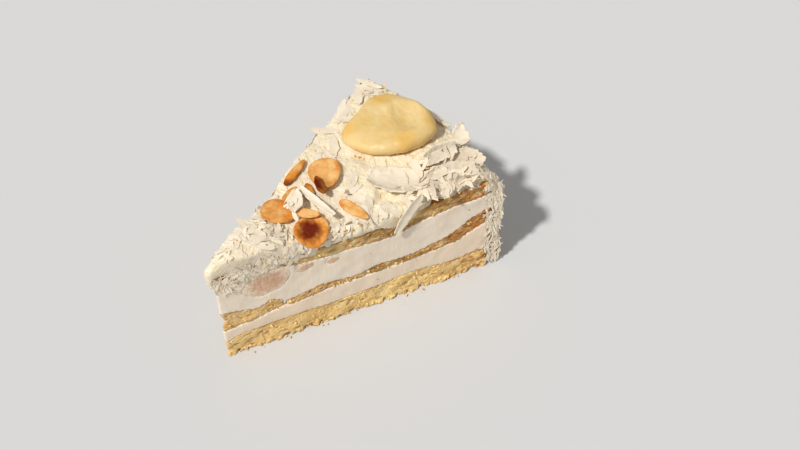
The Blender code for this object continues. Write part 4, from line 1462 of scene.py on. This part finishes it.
class Ground:
    """Soft upper surface of a face that shavings lie on, as a height map.

    The face has an origin, two directions along it, and a direction out of it.
    """

    cell = 0.5
    reach = 3
    smoothing = 30
    bank = 0.2
    bank_steps = 22
    most_gap = 3.2
    fill_slope = 0.5
    fill_steps = 10
    least_gap = 0.05
    most_sag = 1.6
    furthest_in = math.inf
    lookout = 80.0
    lid_depth = 60.0
    close, facing, over = Ramp(2.5, 4.0), Ramp(0.2, 0.6), Ramp(-0.1, 0.3)

    def __init__(self, origin: Array, axes: Sequence[Array], size: tuple[float, float],
                 tree: BVHTree, lids: Sequence[tuple[BVHTree, float]] = ()) -> None:
        """Surveys the face.

        Args:
            origin: Corner of the map.
            axes: Two directions along the face, and the one out of it.
            size: Extent of the map along the first two.
            tree: Search tree of what lies under the shavings.
            lids: Search tree of each thing that lies on the face, and how far it is sunk in the surface.
        """
        self.origin, self.axes = origin, np.array(axes)
        rows, columns = (int(length / self.cell) + 1 for length in size)
        height = np.full((rows, columns), -np.inf)
        self.ceiling = np.full((rows, columns), np.inf)
        for row in range(rows):
            outward = Vector(self.out_at(row * self.cell))
            for column in range(columns):
                start = Vector(self.world(row * self.cell, column * self.cell, self.lookout))
                hit = tree.ray_cast(start, -outward)[0]
                if hit is None:
                    continue
                height[row, column] = self.height_of(hit)
                foot = start - outward * self.lid_depth
                for lid, sunk in lids:
                    under = lid.ray_cast(foot, outward)[0]
                    if under is not None:
                        roof = self.height_of(under) + sunk
                        self.ceiling[row, column] = min(self.ceiling[row, column], roof)
        self.skin, self.near = self._skin_over(height)
        self.slopes = np.gradient(self.skin, self.cell)

    def _skin_over(self, height: Array) -> tuple[Array, Array]:
        """Spreads the highest places of a map a little, then smooths it.

        Args:
            height: The map, minus infinity where nothing is under it.

        Returns:
            The smoothed map, and whether each cell is on the face or close to it.
        """
        known = np.isfinite(height)
        rows, columns = height.shape
        padded = np.pad(height, self.reach, constant_values=-np.inf)
        shifts = [(a, b) for a in range(2 * self.reach + 1) for b in range(2 * self.reach + 1)
                  if math.hypot(a - self.reach, b - self.reach) <= self.reach]
        high = np.max([padded[a:a + rows, b:b + columns] for a, b in shifts], axis=0)
        fill = np.where(self.ceiling - high < self.most_gap, self.ceiling - self.least_gap, -np.inf)
        for _ in range(self.fill_steps):
            fill = np.maximum(fill, beside(fill, np.max, -np.inf) - self.fill_slope * self.cell)
        high = np.where(np.isfinite(high), np.maximum(high, fill), high)
        roof = self.ceiling
        for _ in range(self.bank_steps):
            roof = np.minimum(roof, beside(roof, np.min, np.inf) + self.bank * self.cell)
        weight = known.astype(float)
        total = np.where(known, np.minimum(high, roof), 0.0)
        for _ in range(self.smoothing):
            for axis in (0, 1):
                total = 0.5 * total + 0.25 * (np.roll(total, 1, axis) + np.roll(total, -1, axis))
                weight = 0.5 * weight + 0.25 * (np.roll(weight, 1, axis) + np.roll(weight, -1, axis))
        skin = total / np.maximum(weight, 1e-9)
        return np.minimum(skin, self.ceiling), np.isfinite(high)

    def height_of(self, place: Vector) -> float:
        """Height of a place in the slice over the plane of the map."""
        return self.local(np.array([place]))[0, 2]

    def cell_of(self, places: Array) -> tuple[Array, Array, Array]:
        """Row and column of each place on the map, and whether it lies on the face."""
        row, column = (np.round(places[:, axis] / self.cell).astype(int) for axis in (0, 1))
        inside = (row >= 0) & (column >= 0) & (row < self.skin.shape[0]) & (column < self.skin.shape[1])
        row, column = np.where(inside, row, 0), np.where(inside, column, 0)
        return row, column, inside & self.near[row, column]

    def under_lid(self, points: Array) -> float:
        """Share of the points that lie in line with something on the face."""
        row, column, on = self.cell_of(self.local(points))
        return float(np.mean(on & np.isfinite(self.ceiling[row, column])))

    def press(self, points: Array, normals: Array, deepest: float, highest: float) -> Array:
        """Moves a surface out or in so that it stays close under the soft one.

        Args:
            points: Corners of the surface.
            normals: Outward direction at each.
            deepest: How far under the soft surface a corner may lie.
            highest: How far under it every corner lies at least.

        Returns:
            The moved corners.
        """
        places = self.local(points)
        row, column, on = self.cell_of(places)
        outward = np.array([self.out_at(across) for across in places[:, 0]])
        skin = self.skin[row, column]
        close = 1 - self.close.of(np.abs(places[:, 2] - skin))
        turned_out = self.facing.of((normals * outward).sum(axis=1))
        moved = np.maximum(turned_out, self.over.of(places[:, 2] - skin)) * on * close
        wanted = np.clip(places[:, 2], skin - deepest, skin - highest)
        return points + outward * ((wanted - places[:, 2]) * moved)[:, None]

    def skin_at(self, places: Array) -> Array:
        """Height of the soft surface at places on the map, blended between its cells."""
        spot = np.clip(places[:, :2] / self.cell, 0, np.array(self.skin.shape) - 1.001)
        low = spot.astype(int)
        along, up = (spot - low).T
        row, column = low.T
        rows = [self.skin[row, column + step] * (1 - along) + self.skin[row + 1, column + step] * along
                for step in (0, 1)]
        return rows[0] * (1 - up) + rows[1] * up

    def drape(self, points: Array, middle: Array, normal: Array, share: float) -> Array:
        """Lets a thin thing that lies on a plane sink on to the soft surface.

        Args:
            points: Its corners.
            middle: Its middle, on the plane.
            normal: Direction out of the plane.
            share: How closely it follows the surface, from 0 to 1.

        Returns:
            The moved corners.
        """
        foot = self.local(points - ((points - middle) @ normal)[:, None] * normal)
        seat = self.local(middle[None])
        level = seat[0, 2] - self.skin_at(seat)[0]
        sag = np.clip(self.skin_at(foot) + level - foot[:, 2], -self.most_sag, self.most_sag)
        outward = np.array([self.out_at(across) for across in foot[:, 0]])
        return points + outward * (share * sag)[:, None]

    def out_at(self, across: float) -> Array:
        """Direction out of the face at a place along it."""
        return self.axes[2]

    def world(self, across: float, up: float, out: float) -> Array:
        """A place on the map as a place in the slice."""
        return self.origin + np.array([across, up, out]) @ self.axes

    def local(self, points: Array) -> Array:
        """Places in the slice as places on the map."""
        return (points - self.origin) @ self.axes.T

    def frame(self, across: float) -> Matrix:
        """Axes of the face at a place, as the columns of a matrix."""
        return Matrix(self.axes).transposed()

    def seat(self, across: float, up: float, level: float) -> tuple[Array, Matrix] | None:
        """Where something lies flat on the face.

        Args:
            across: Place along the face.
            up: Place up the face.
            level: Height above the soft surface.

        Returns:
            The place and the axes there, or None off the face.
        """
        row, column = round(across / self.cell), round(up / self.cell)
        on_map = 0 <= row < self.skin.shape[0] and 0 <= column < self.skin.shape[1]
        if not on_map or not self.near[row, column] or self.skin[row, column] < -self.furthest_in:
            return None
        first = Vector((1, 0, self.slopes[0][row, column])).normalized()
        out = Vector((-self.slopes[0][row, column], -self.slopes[1][row, column], 1)).normalized()
        lie = Matrix((first, out.cross(first), out)).transposed()
        return self.world(across, up, self.skin[row, column] + level), self.frame(across) @ lie


class RoundGround(Ground):
    """Height map of the wall round the rim, unrolled."""

    radius = 119.0
    height = 55.0

    def __init__(self, wedge: Wedge, tree: BVHTree) -> None:
        """Surveys the wall.

        Args:
            wedge: The slice.
            tree: Search tree of the coat.
        """
        self.wedge = wedge
        self.width = 2 * wedge.half_angle * self.radius
        super().__init__(np.zeros(3), ([1, 0, 0], [0, 0, 1], [0, -1, 0]), (self.width, self.height), tree)

    def out_at(self, across: float) -> Array:
        """Direction out of the wall at a place along it."""
        angle = across / self.radius - self.wedge.half_angle
        return np.array([math.cos(angle), math.sin(angle), 0.0])

    def world(self, across: float, up: float, out: float) -> Array:
        """A place on the map as a place in the slice."""
        return self.wedge.from_tip(0, 0, up) + self.out_at(across) * (self.radius + out)

    def local(self, points: Array) -> Array:
        """Places in the slice as places on the map."""
        x, y = points[:, 0] - self.wedge.tip_x, points[:, 1] - self.wedge.tip_y
        across = (np.arctan2(y, x) + self.wedge.half_angle) * self.radius
        return np.stack([across, points[:, 2], np.hypot(x, y) - self.radius], axis=1)

    def frame(self, across: float) -> Matrix:
        """Axes of the wall at a place, as the columns of a matrix."""
        out = self.out_at(across)
        return Matrix([[-out[1], out[0], 0.0], [0, 0, 1], out]).transposed()


@dataclass(frozen=True)
class Patch:
    """A rectangle on a face, given along and up it, from which places are drawn."""

    across: tuple[float, float]
    up: tuple[float, float]

    def spot(self, rng: random.Random) -> tuple[float, float]:
        """The next place along and up the face."""
        return rng.uniform(*self.across), rng.uniform(*self.up)


@dataclass(frozen=True)
class TipPatch:
    """The top near the tip, from which places are drawn up to a reach beyond the first of them."""

    wedge: Wedge
    map_place: tuple[float, float]
    first: float = 5.0
    reach: float = 39.0
    spread: float = 0.85

    def spot(self, rng: random.Random) -> tuple[float, float]:
        """The next place on the map of the top."""
        distance = self.first + self.reach * math.sqrt(rng.random())
        angle = rng.uniform(-self.spread, self.spread) * self.wedge.half_angle
        x, y = self.wedge.around_tip(distance, angle)
        return self.map_place[0] + x, self.map_place[1] + y


@dataclass(frozen=True)
class Fringe:
    """The shavings that hang over one cut: the lowest height along it, and how far they reach over that."""

    side: Side
    lowest: tuple[tuple[float, float], ...]
    height: float
    zones: tuple[tuple[float, float], ...] = ((2.2, 42), (30, 80), (60, 118))
    chances: tuple[float, ...] = (0.45, 0.35, 0.2)
    lift: float = 1.2
    waves: tuple[tuple[float, float], ...] = ((1.2, 0.9), (0.8, 2.3))
    upward: float = 0.8

    def spot(self, rng: random.Random) -> tuple[float, float]:
        """The next place along and up the cut, thinner towards the lower edge and towards the rim."""
        across = rng.uniform(*rng.choices(self.zones, self.chances)[0])
        floor = float(np.interp(across, *zip(*self.lowest))) + self.lift
        floor += sum(swing * math.sin(across * pace) for swing, pace in self.waves)
        return across, floor + self.height * rng.random() ** self.upward


@dataclass(frozen=True)
class Scatter:
    """How one kind of shaving falls on one face: its turns in degrees, its height over the face, and its
    range of tones, which some faces narrow as painted light and shade.
    """

    cut: Cut
    count: int
    heading: float
    heading_spread: float
    tilt: float
    level: tuple[float, float]
    scale: tuple[float, float] = (0.65, 1.35)
    tone: tuple[float, float] = (0.1, 1.0)


class Shavings:
    """All the fine white shavings, laid on the faces of the slice one after another."""

    variants = 4
    cling = (0.75, 1.0)
    broader = (0.8, 1.2)
    thickness = (0.7, 0.3)
    turned_over = 0.4
    lowest = 0.3
    most_under = 0.1
    reach = 118.0

    def __init__(self, wedge: Wedge, kept_clear: Sequence[BVHTree], seed: int) -> None:
        """Models each kind.

        Args:
            wedge: The slice.
            kept_clear: Search trees of the toppings that no shaving goes through.
            seed: Start of the random draws.
        """
        self.wedge, self.kept_clear = wedge, kept_clear
        self.rng = random.Random(seed)
        self.models = {cut: [ShavingModeller(cut, 10 * number + other).build()
                             for other in range(self.variants)] for number, cut in enumerate(Cut)}
        self.flocks = {cut: Flock(f"shavings_{cut.name.lower()}") for cut in Cut}

    def place(self, ground: Ground, way: Scatter, across: float, up: float, heading: float) -> None:
        """Lays one shaving, unless it would lie off the face, in the floor or in a topping.

        Args:
            ground: The face it falls on.
            way: How it falls.
            across: Place of its middle along the face.
            up: Place of its middle up the face.
            heading: Turn of its length in the face, in degrees.
        """
        rng = self.rng
        seat = ground.seat(across, up, rng.uniform(*way.level))
        if seat is None:
            return
        middle, axes = seat
        model = rng.choice(self.models[way.cut])
        size = rng.uniform(*way.scale)
        thick = self.thickness[0] + self.thickness[1] * size
        stretch = Matrix.Diagonal((size * rng.uniform(*self.broader), size, thick))
        tilt = rng.gauss(0, way.tilt)
        roll = rng.gauss(0, way.tilt) + (180 if rng.random() < self.turned_over else 0)
        turn = Euler([math.radians(a) for a in (roll, tilt, heading)], "XYZ").to_matrix()
        laid = model.points @ np.array(axes @ turn @ stretch).T + middle
        laid = ground.drape(laid, middle, np.array(axes.col[2]), rng.uniform(*self.cling))
        if laid[:, 2].min() < self.lowest:
            return
        own = BVHTree.FromPolygons([Vector(p) for p in laid], model.faces)
        if any(own.overlap(tree) for tree in self.kept_clear) or ground.under_lid(laid) > self.most_under:
            return
        self.flocks[way.cut].add(model, laid, rng.uniform(*way.tone))

    def over_top(self, ground: Ground, ways: Sequence[Scatter]) -> None:
        """Covers the top with shavings that lie every way round.

        Args:
            ground: The top.
            ways: How each kind falls.
        """
        for way in ways:
            for _ in range(way.count):
                distance = self.reach * math.sqrt(self.rng.random())
                x, y = self.wedge.around_tip(distance, self.rng.uniform(-1, 1) * self.wedge.half_angle)
                across, up, _ = ground.local(self.wedge.from_tip(x, y, 0)[None])[0]
                self.place(ground, way, across, up, self.rng.uniform(0, 360))

    def over_face(self, ground: Ground, ways: Sequence[Scatter], area: Patch | TipPatch | Fringe) -> None:
        """Covers a part of a face.

        Args:
            ground: The face.
            ways: How each kind falls.
            area: The part, which draws the places.
        """
        for way in ways:
            for _ in range(way.count):
                across, up = area.spot(self.rng)
                heading = self.rng.gauss(way.heading, way.heading_spread)
                self.place(ground, way, across, up, heading)

    def build(self, material: bpy.types.Material) -> None:
        """Joins each kind into one piece."""
        for flock in self.flocks.values():
            flock.build(material, "shaving")


@dataclass(frozen=True)
class Strewn:
    """One sort of crumb on a cut: how many, their range along it, and their sizes and shades."""

    count: int
    along: tuple[float, float]
    size: tuple[float, float]
    tone: tuple[float, float]


class Crumbs:
    """Sponge crumbs: on the cuts of the layers, dragged over the cream, in the fringe and at the foot."""

    variants = 5
    size, mostly_small = (0.45, 1.25), 2.2
    browned_from, browned_share = 96.0, 0.5
    brown, pale = (0.0, 0.35), (0.6, 1.0)
    off_edges, stand_out = (0.2, 0.1), (-0.25, 0.15)
    dragged, cream, smeared_out = Strewn(16, (6, 114), (0.25, 0.6), (0.3, 1.0)), (10, 42), 0.22
    hanging = Strewn(42, (2, 70), (0.5, 1.2), (0.35, 1.0))
    fringe, about_fringe, in_front = ((2, 25, 70), (42, 46, 51)), (-1, 2.5), (0.1, 0.5)
    fallen, foot, furthest = Strewn(16, (4, 116), (0.4, 1.1), (0.5, 1.0)), 0.4, 2.4
    bedded, least_height, full_turn = 0.4, 0.02, 6.28

    def __init__(self, wedge: Wedge, seed: int) -> None:
        """Models a few crumbs.

        Args:
            wedge: The slice.
            seed: Start of the random draws.
        """
        self.wedge = wedge
        self.rng = random.Random(seed)
        self.models = [model_of_crumb(number) for number in range(self.variants)]
        self.flock = Flock("crumbs")

    def drop(self, spot: Array, size: float, tone: float) -> None:
        """Adds one crumb of a size and shade at a spot."""
        rng = self.rng
        model = rng.choice(self.models)
        turn = Euler([rng.uniform(0, self.full_turn) for _ in range(3)]).to_matrix()
        points = model.points @ np.array(turn).T * size + spot
        points[:, 2] += max(0.0, self.least_height - points[:, 2].min())
        self.flock.add(model, points, tone)

    def on_band(self, band: LayerBand, count: int) -> None:
        """Crumbs that stand out of a layer's cut, brown ones among them near the rim.

        Args:
            band: The layer along the cut.
            count: How many.
        """
        draw = self.rng.uniform
        for _ in range(count):
            distance = draw(band.stations[0], band.stations[-1])
            low, high = (value[0] for value in band.at(np.array([distance])))
            height = draw(low + self.off_edges[0], high - self.off_edges[1])
            size = self.size[0] + (self.size[1] - self.size[0]) * self.rng.random() ** self.mostly_small
            browned = distance > self.browned_from and self.rng.random() < self.browned_share
            tone = draw(*(self.brown if browned else self.pale))
            self.drop(self.wedge.on_cut(band.side, distance, height, draw(*self.stand_out)), size, tone)

    def _on_cream(self, _: float) -> tuple[float, float]:
        """Height and distance out of one that the knife dragged over the cream."""
        return self.rng.uniform(*self.cream), self.smeared_out

    def _in_fringe(self, distance: float) -> tuple[float, float]:
        """Height and distance out of one among the shavings that hang over a cut."""
        height = float(np.interp(distance, *self.fringe)) + self.rng.uniform(*self.about_fringe)
        return height, self.rng.uniform(*self.in_front)

    def _at_foot(self, _: float) -> tuple[float, float]:
        """Height and distance out of one that fell along the foot of a cut."""
        return self.foot, self.rng.random() ** 2 * self.furthest

    def on_cut(self, side: Side) -> None:
        """Strews every sort along a cut."""
        sorts = ((self.dragged, self._on_cream), (self.hanging, self._in_fringe),
                 (self.fallen, self._at_foot))
        for sort, place in sorts:
            for _ in range(sort.count):
                distance = self.rng.uniform(*sort.along)
                spot = self.wedge.on_cut(side, distance, *place(distance))
                self.drop(spot, self.rng.uniform(*sort.size), self.rng.uniform(*sort.tone))

    def on_top(self, coat: BVHTree, specks: Iterable[tuple[float, float, float, float]]) -> None:
        """Specks that lie among the shavings.

        Args:
            coat: Search tree of the coat.
            specks: Place from the tip, size and shade of each.
        """
        for x, y, size, tone in specks:
            hit = coat.ray_cast(Vector(self.wedge.from_tip(x, y, ABOVE)), DOWN)[0]
            if hit is not None:
                self.drop(np.array(hit) + [0, 0, self.bedded], size, tone)


@dataclass
class Studio:
    """Pale floor, one soft key light, even fill, and the camera."""

    floor_size: float = 3.0
    floor_colour: Colour = shade(205, 205, 205)
    floor_drop: float = 0.0001
    floor_roughness: float = 0.75
    floor_gloss: float = 0.2
    fill: float = 0.37
    fill_colour: Colour = (1.0, 0.995, 0.985, 1.0)
    sun: float = 3.05
    sun_colour: tuple[float, float, float] = (1.0, 0.985, 0.96)
    sun_width: float = 4.0
    sun_heading: float = 5.15
    sun_height: float = 53.0
    azimuth: float = -41.85
    elevation: float = 48.37
    roll: float = 0.98
    camera_place: tuple[float, float, float] = (-0.20675, -0.26853, 0.41207)
    lens: float = 56.886
    sensor: float = 36.0
    nearest: float = 0.01

    def build(self) -> None:
        """Sets the scene up."""
        self._floor()
        self._light()
        self._camera()

    def _floor(self) -> None:
        """Lays a large plain plane just under the slice."""
        bpy.ops.mesh.primitive_plane_add(size=self.floor_size, location=(0, 0, -self.floor_drop))
        floor = bpy.context.object
        floor.name = "floor"
        material = bpy.data.materials.new("Floor")
        material.use_nodes = True
        shader = material.node_tree.nodes["Principled BSDF"]
        shader.inputs["Base Color"].default_value = self.floor_colour
        shader.inputs["Roughness"].default_value = self.floor_roughness
        shader.inputs["Specular IOR Level"].default_value = self.floor_gloss
        floor.data.materials.append(material)

    def _light(self) -> None:
        """Sets a sun as the key light and an even sky as the fill."""
        lamp = bpy.data.lights.new("key", "SUN")
        lamp.energy, lamp.color = self.sun, self.sun_colour
        lamp.angle = math.radians(self.sun_width)
        heading, height = math.radians(self.sun_heading), math.radians(self.sun_height)
        level = math.cos(height)
        travel = Vector((math.cos(heading) * level, math.sin(heading) * level, -math.sin(height)))
        add_piece("key", lamp).rotation_euler = travel.to_track_quat("-Z", "Y").to_euler()
        world = bpy.data.worlds.new("fill")
        world.use_nodes = True
        background = world.node_tree.nodes["Background"]
        background.inputs["Color"].default_value = self.fill_colour
        background.inputs["Strength"].default_value = self.fill
        bpy.context.scene.world = world

    def _camera(self) -> None:
        """Sets the camera at the photograph's viewing angle."""
        turn, rise, roll = (math.radians(a) for a in (self.azimuth, self.elevation, self.roll))
        back = Vector((math.sin(turn) * math.cos(rise), -math.cos(turn) * math.cos(rise), math.sin(rise)))
        level = Vector((math.cos(turn), math.sin(turn), 0))
        right = math.cos(roll) * level - math.sin(roll) * back.cross(level)
        lens = bpy.data.cameras.new("camera")
        lens.lens, lens.sensor_width, lens.clip_start = self.lens, self.sensor, self.nearest
        camera = add_piece("camera", lens)
        axes = Matrix((right, back.cross(right), back)).transposed().to_4x4()
        camera.matrix_world = Matrix.Translation(self.camera_place) @ axes
        bpy.context.scene.camera = camera
        bpy.context.scene.view_settings.view_transform = "Standard"


SPONGES = (
    SpongeLayer("sponge_base", "sponge_bottom", 130, ragged_foot=1.0, browning=0.85),
    SpongeLayer("sponge_middle_tip", "sponge_centre_tip", 20, last=26.0, browning=1.1, dusk=0.35, smear=0.35),
    SpongeLayer("sponge_middle", "sponge_centre", 60, first=29.0, small_pit=0.45, browning=1.2, dusk=0.75,
                smear=0.35),
    SpongeLayer("sponge_top", "sponge_upper", 70, browning=0.8, dusk=0.75, smear=0.35),
)
FILLINGS = (
    FillingLayer("cream_lower", "filling_lower", stain=0.35),
    FillingLayer("cream_upper", "filling_upper"),
)
SOAKED = tuple(SoakedPiece(f"pineapple_inside_{number}") for number in (1, 2, 3))
FLAKES = (
    AlmondFlake("almond_1", toast=0.45, rim=0.3),
    AlmondFlake("almond_2", toast=0.7, rim=0.45, burn=0.85, burn_place=(46.8, 12.2), burn_size=3.4),
    AlmondFlake("almond_3", toast=0.25, rim=0.3, burn=0.4, burn_place=(57.0, 1.5), burn_size=3.0),
    AlmondFlake("almond_4", toast=0.9, rim=0.7, burn=1.2, burn_place=(53.0, 2.0), burn_size=6.0),
    AlmondFlake("almond_5", toast=0.2, rim=0.1, burn=1.3, burn_place=(40.0, -10.1), burn_size=5.3),
    AlmondFlake("almond_6", toast=0.1, rim=0.25),
    AlmondFlake("almond_7", toast=0.15, rim=0.2),
    AlmondFlake("almond_8", toast=0.9, rim=0.35, burn=0.5, burn_place=(53.4, 7.4), burn_size=2.4),
    AlmondFlake("almond_9", toast=0.8, rim=0.3),
)
# Painted light and shade: petals 2 and 3 take darker tones as painted shade, and the strip, whose side is
# turned from the sun, takes the lightest tone as painted light.
PETALS = (
    Petal("shaving_petal_1", tear=0.8),
    Petal("shaving_petal_2", tear=1.0, tone=0.05),
    Petal("shaving_petal_3", tear=0.9, tone=0.2),
    Petal("shaving_ridge", tear=0.5),
    Petal("shaving_strip", tear=0.2, tone=1.0),
    Petal("shaving_fold", tear=0.25),
    Petal("shaving_ruffle", tear=0.6),
    Petal("shaving_shard", tear=0.9),
    Petal("shaving_stick", tear=0.3, sink=0.0),
)
TOP_WAYS = (
    Scatter(Cut.PLANK, 80, 0, 180, 1.5, (-0.14, 0.0), (0.7, 1.5)),
    Scatter(Cut.SPLINTER, 40, 0, 180, 2.5, (-0.1, 0.04), (0.6, 1.4)),
    Scatter(Cut.NEEDLE, 40, 0, 180, 3, (-0.05, 0.1)),
    Scatter(Cut.CURL, 8, 0, 180, 8, (0.0, 0.3), (0.6, 1.1)),
    Scatter(Cut.SPLINTER, 8, 0, 180, 20, (0.1, 0.5), (0.6, 1.2)),
)
# Painted shade: the shavings in the top's corner by the near cut and the rim take only the darker tones.
CORNER_WAYS = (
    Scatter(Cut.PLANK, 26, 0, 180, 4, (-0.05, 0.15), (0.6, 1.3), (0.0, 0.4)),
    Scatter(Cut.SPLINTER, 40, 0, 180, 6, (0.0, 0.2), (0.6, 1.4), (0.0, 0.4)),
    Scatter(Cut.NEEDLE, 40, 0, 180, 6, (0.0, 0.25), (0.6, 1.2), (0.0, 0.5)),
)
# Painted light: the shavings near the tip take only the lighter tones.
TIP_WAYS = (
    Scatter(Cut.SPLINTER, 34, 0, 180, 8, (0.0, 0.25), (0.6, 1.3), (0.6, 1.0)),
    Scatter(Cut.CHIP, 20, 0, 180, 8, (0.0, 0.2), (0.6, 1.2), (0.6, 1.0)),
    Scatter(Cut.NEEDLE, 26, 0, 180, 8, (0.0, 0.3), (0.6, 1.1), (0.6, 1.0)),
)
WALL_WAYS = (
    Scatter(Cut.PLANK, 24, 90, 30, 2, (-0.14, 0.0), (0.7, 1.4)),
    Scatter(Cut.SPLINTER, 70, 90, 25, 3, (-0.1, 0.1), (0.7, 1.6)),
    Scatter(Cut.NEEDLE, 130, 90, 18, 5, (0.0, 0.4), (0.8, 1.5)),
)
EDGE_WAYS = (
    Scatter(Cut.PLANK, 150, 90, 45, 5, (-0.1, 0.2), (0.5, 1.1)),
    Scatter(Cut.CHIP, 130, 90, 70, 8, (-0.1, 0.3)),
    Scatter(Cut.SPLINTER, 150, 90, 45, 8, (0.0, 0.4)),
    Scatter(Cut.NEEDLE, 70, 90, 35, 8, (0.1, 0.5), (0.5, 1.0)),
)
# Painted light: the shavings on the rim end, which lies in shade, take only the lighter tones.
END_WAYS = (
    Scatter(Cut.CHIP, 50, 90, 60, 6, (-0.05, 0.15), (0.5, 0.9), (0.6, 1.0)),
    Scatter(Cut.SPLINTER, 90, 90, 26, 6, (-0.05, 0.3), (0.5, 1.0), (0.6, 1.0)),
    Scatter(Cut.NEEDLE, 70, 90, 22, 7, (0.0, 0.4), (0.5, 1.1), (0.6, 1.0)),
)
FRINGES = (
    Fringe(Side.NEAR, ((2, 39), (12, 41), (25, 43.5), (36, 45), (48, 47.5), (64, 49.2), (76, 50.4),
                       (90, 51.5), (117, 53)), height=6.5),
    Fringe(Side.FAR, ((2, 42), (30, 46), (70, 48), (117, 50)), height=3.0),
)
SPECKS = (
    (103.8, -15.5, 1.5, 0.25), (104.9, -16.3, 1.1, 0.3), (104, -36.4, 1.8, 0.1), (93.1, -17.4, 1.6, 0.2),
    (94.3, -18, 1.3, 0.3), (77.3, 6.5, 1.3, 0.75), (78.1, 4.8, 1.4, 0.8), (78.6, 3.2, 1.2, 0.75),
    (44.6, -14.4, 1.2, 0.15), (46.4, -15.8, 1.0, 0.1), (49.2, -16, 1.1, 0.2), (57, -18.4, 0.9, 0.25),
    (22.4, -6.6, 1.0, 0.6), (14.6, 1.4, 0.8, 0.7),
)


@dataclass
class Slice:
    """The whole slice, put together in the order in which things lie on one another."""

    wedge: Wedge
    materials: Materials
    map_size: tuple[float, float] = (132.0, 88.0)
    map_tip: tuple[float, float] = (6.0, 44.0)
    cut_size: tuple[float, float] = (126.0, 60.0)
    chunk_sunk: float = 1.2
    almond_sunk: float = 0.1
    petal_sunk: float = 0.45
    furthest_in: float = 2.5
    corner: Patch = Patch((84, 120), (2, 30))
    rim_end: Patch = Patch((114.2, 122), (2, 54))
    wall_height: tuple[float, float] = (1.5, 53.0)

    def on_cuts(self, covered: BVHTree) -> dict[Side, Ground]:
        """Surveys both cuts.

        Args:
            covered: Search tree of what lies there.

        Returns:
            The face on each cut.
        """
        wedge, up = self.wedge, np.array([0.0, 0.0, 1.0])
        return {side: Ground(wedge.on_cut(side, 0, 0), (wedge.along(side), up, wedge.out_of(side)),
                             self.cut_size, covered) for side in Side}

    def shavings(self, faces: tuple[Ground, Ground, RoundGround, dict[Side, Ground]],
                 toppings: Sequence[BVHTree]) -> None:
        """Lays the fine shavings.

        Args:
            faces: The top, the top with its large shavings, the wall, and what hangs over each cut.
            toppings: Search trees of what they keep clear of.
        """
        top, heaped, wall, cuts = faces
        pile = Shavings(self.wedge, toppings, seed=7)
        pile.over_top(top, TOP_WAYS)
        pile.over_face(heaped, CORNER_WAYS, self.corner)
        pile.over_face(heaped, TIP_WAYS, TipPatch(self.wedge, self.map_tip))
        pile.over_face(wall, WALL_WAYS, Patch((0, wall.width), self.wall_height))
        for fringe in FRINGES:
            pile.over_face(cuts[fringe.side], EDGE_WAYS, fringe)
            pile.over_face(cuts[fringe.side], END_WAYS, self.rim_end)
        pile.build(self.materials["shaving"])

    def crumbs(self, coat: BVHTree) -> None:
        """Adds the crumbs.

        Args:
            coat: Search tree of the coat.
        """
        crumbs = Crumbs(self.wedge, seed=3)
        for sponge in SPONGES:
            for band in sponge.bands:
                crumbs.on_band(band, sponge.crumbs)
        for side in Side:
            crumbs.on_cut(side)
        crumbs.on_top(coat, SPECKS)
        crumbs.flock.build(self.materials["crumb"], "sponge")

    def build(self) -> None:
        """Builds everything, and settles the coat round what lies on it before the shavings fall."""
        def pieces(looks: Iterable[Look]) -> list[Piece]:
            """Builds a row of pieces."""
            return [look.build(self.wedge, self.materials) for look in looks]

        layers = pieces((*SPONGES, *FILLINGS))
        pieces(SOAKED)
        chunk, *almonds = [tree_of(piece) for piece in pieces((PineappleChunk(), *FLAKES))]
        petals = pieces(PETALS)
        cover = Coat()
        coat = cover.build(self.wedge, self.materials)
        lids = [(chunk, self.chunk_sunk), *((tree, self.almond_sunk) for tree in almonds),
                *((tree_of(petal), self.petal_sunk) for petal in petals)]
        origin = self.wedge.from_tip(-self.map_tip[0], -self.map_tip[1], 0)
        bare = tree_of(coat)
        top = Ground(origin, np.eye(3), self.map_size, bare, lids)
        wall = RoundGround(self.wedge, bare)
        cover.settle_under(coat, self.wedge, [top, wall, *self.on_cuts(bare).values()])
        heaped = Ground(origin, np.eye(3), self.map_size, tree_of(coat, *petals))
        cuts = self.on_cuts(tree_of(coat, *layers))
        for cut in cuts.values():
            cut.furthest_in = self.furthest_in
        self.shavings((top, heaped, wall, cuts), [chunk, *almonds])
        self.crumbs(tree_of(coat))


def main() -> None:
    """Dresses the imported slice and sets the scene."""
    logging.basicConfig(level=logging.INFO, format="%(message)s")
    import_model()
    Slice(Wedge(), all_materials()).build()
    Studio().build()


if __name__ == "__main__":
    main()
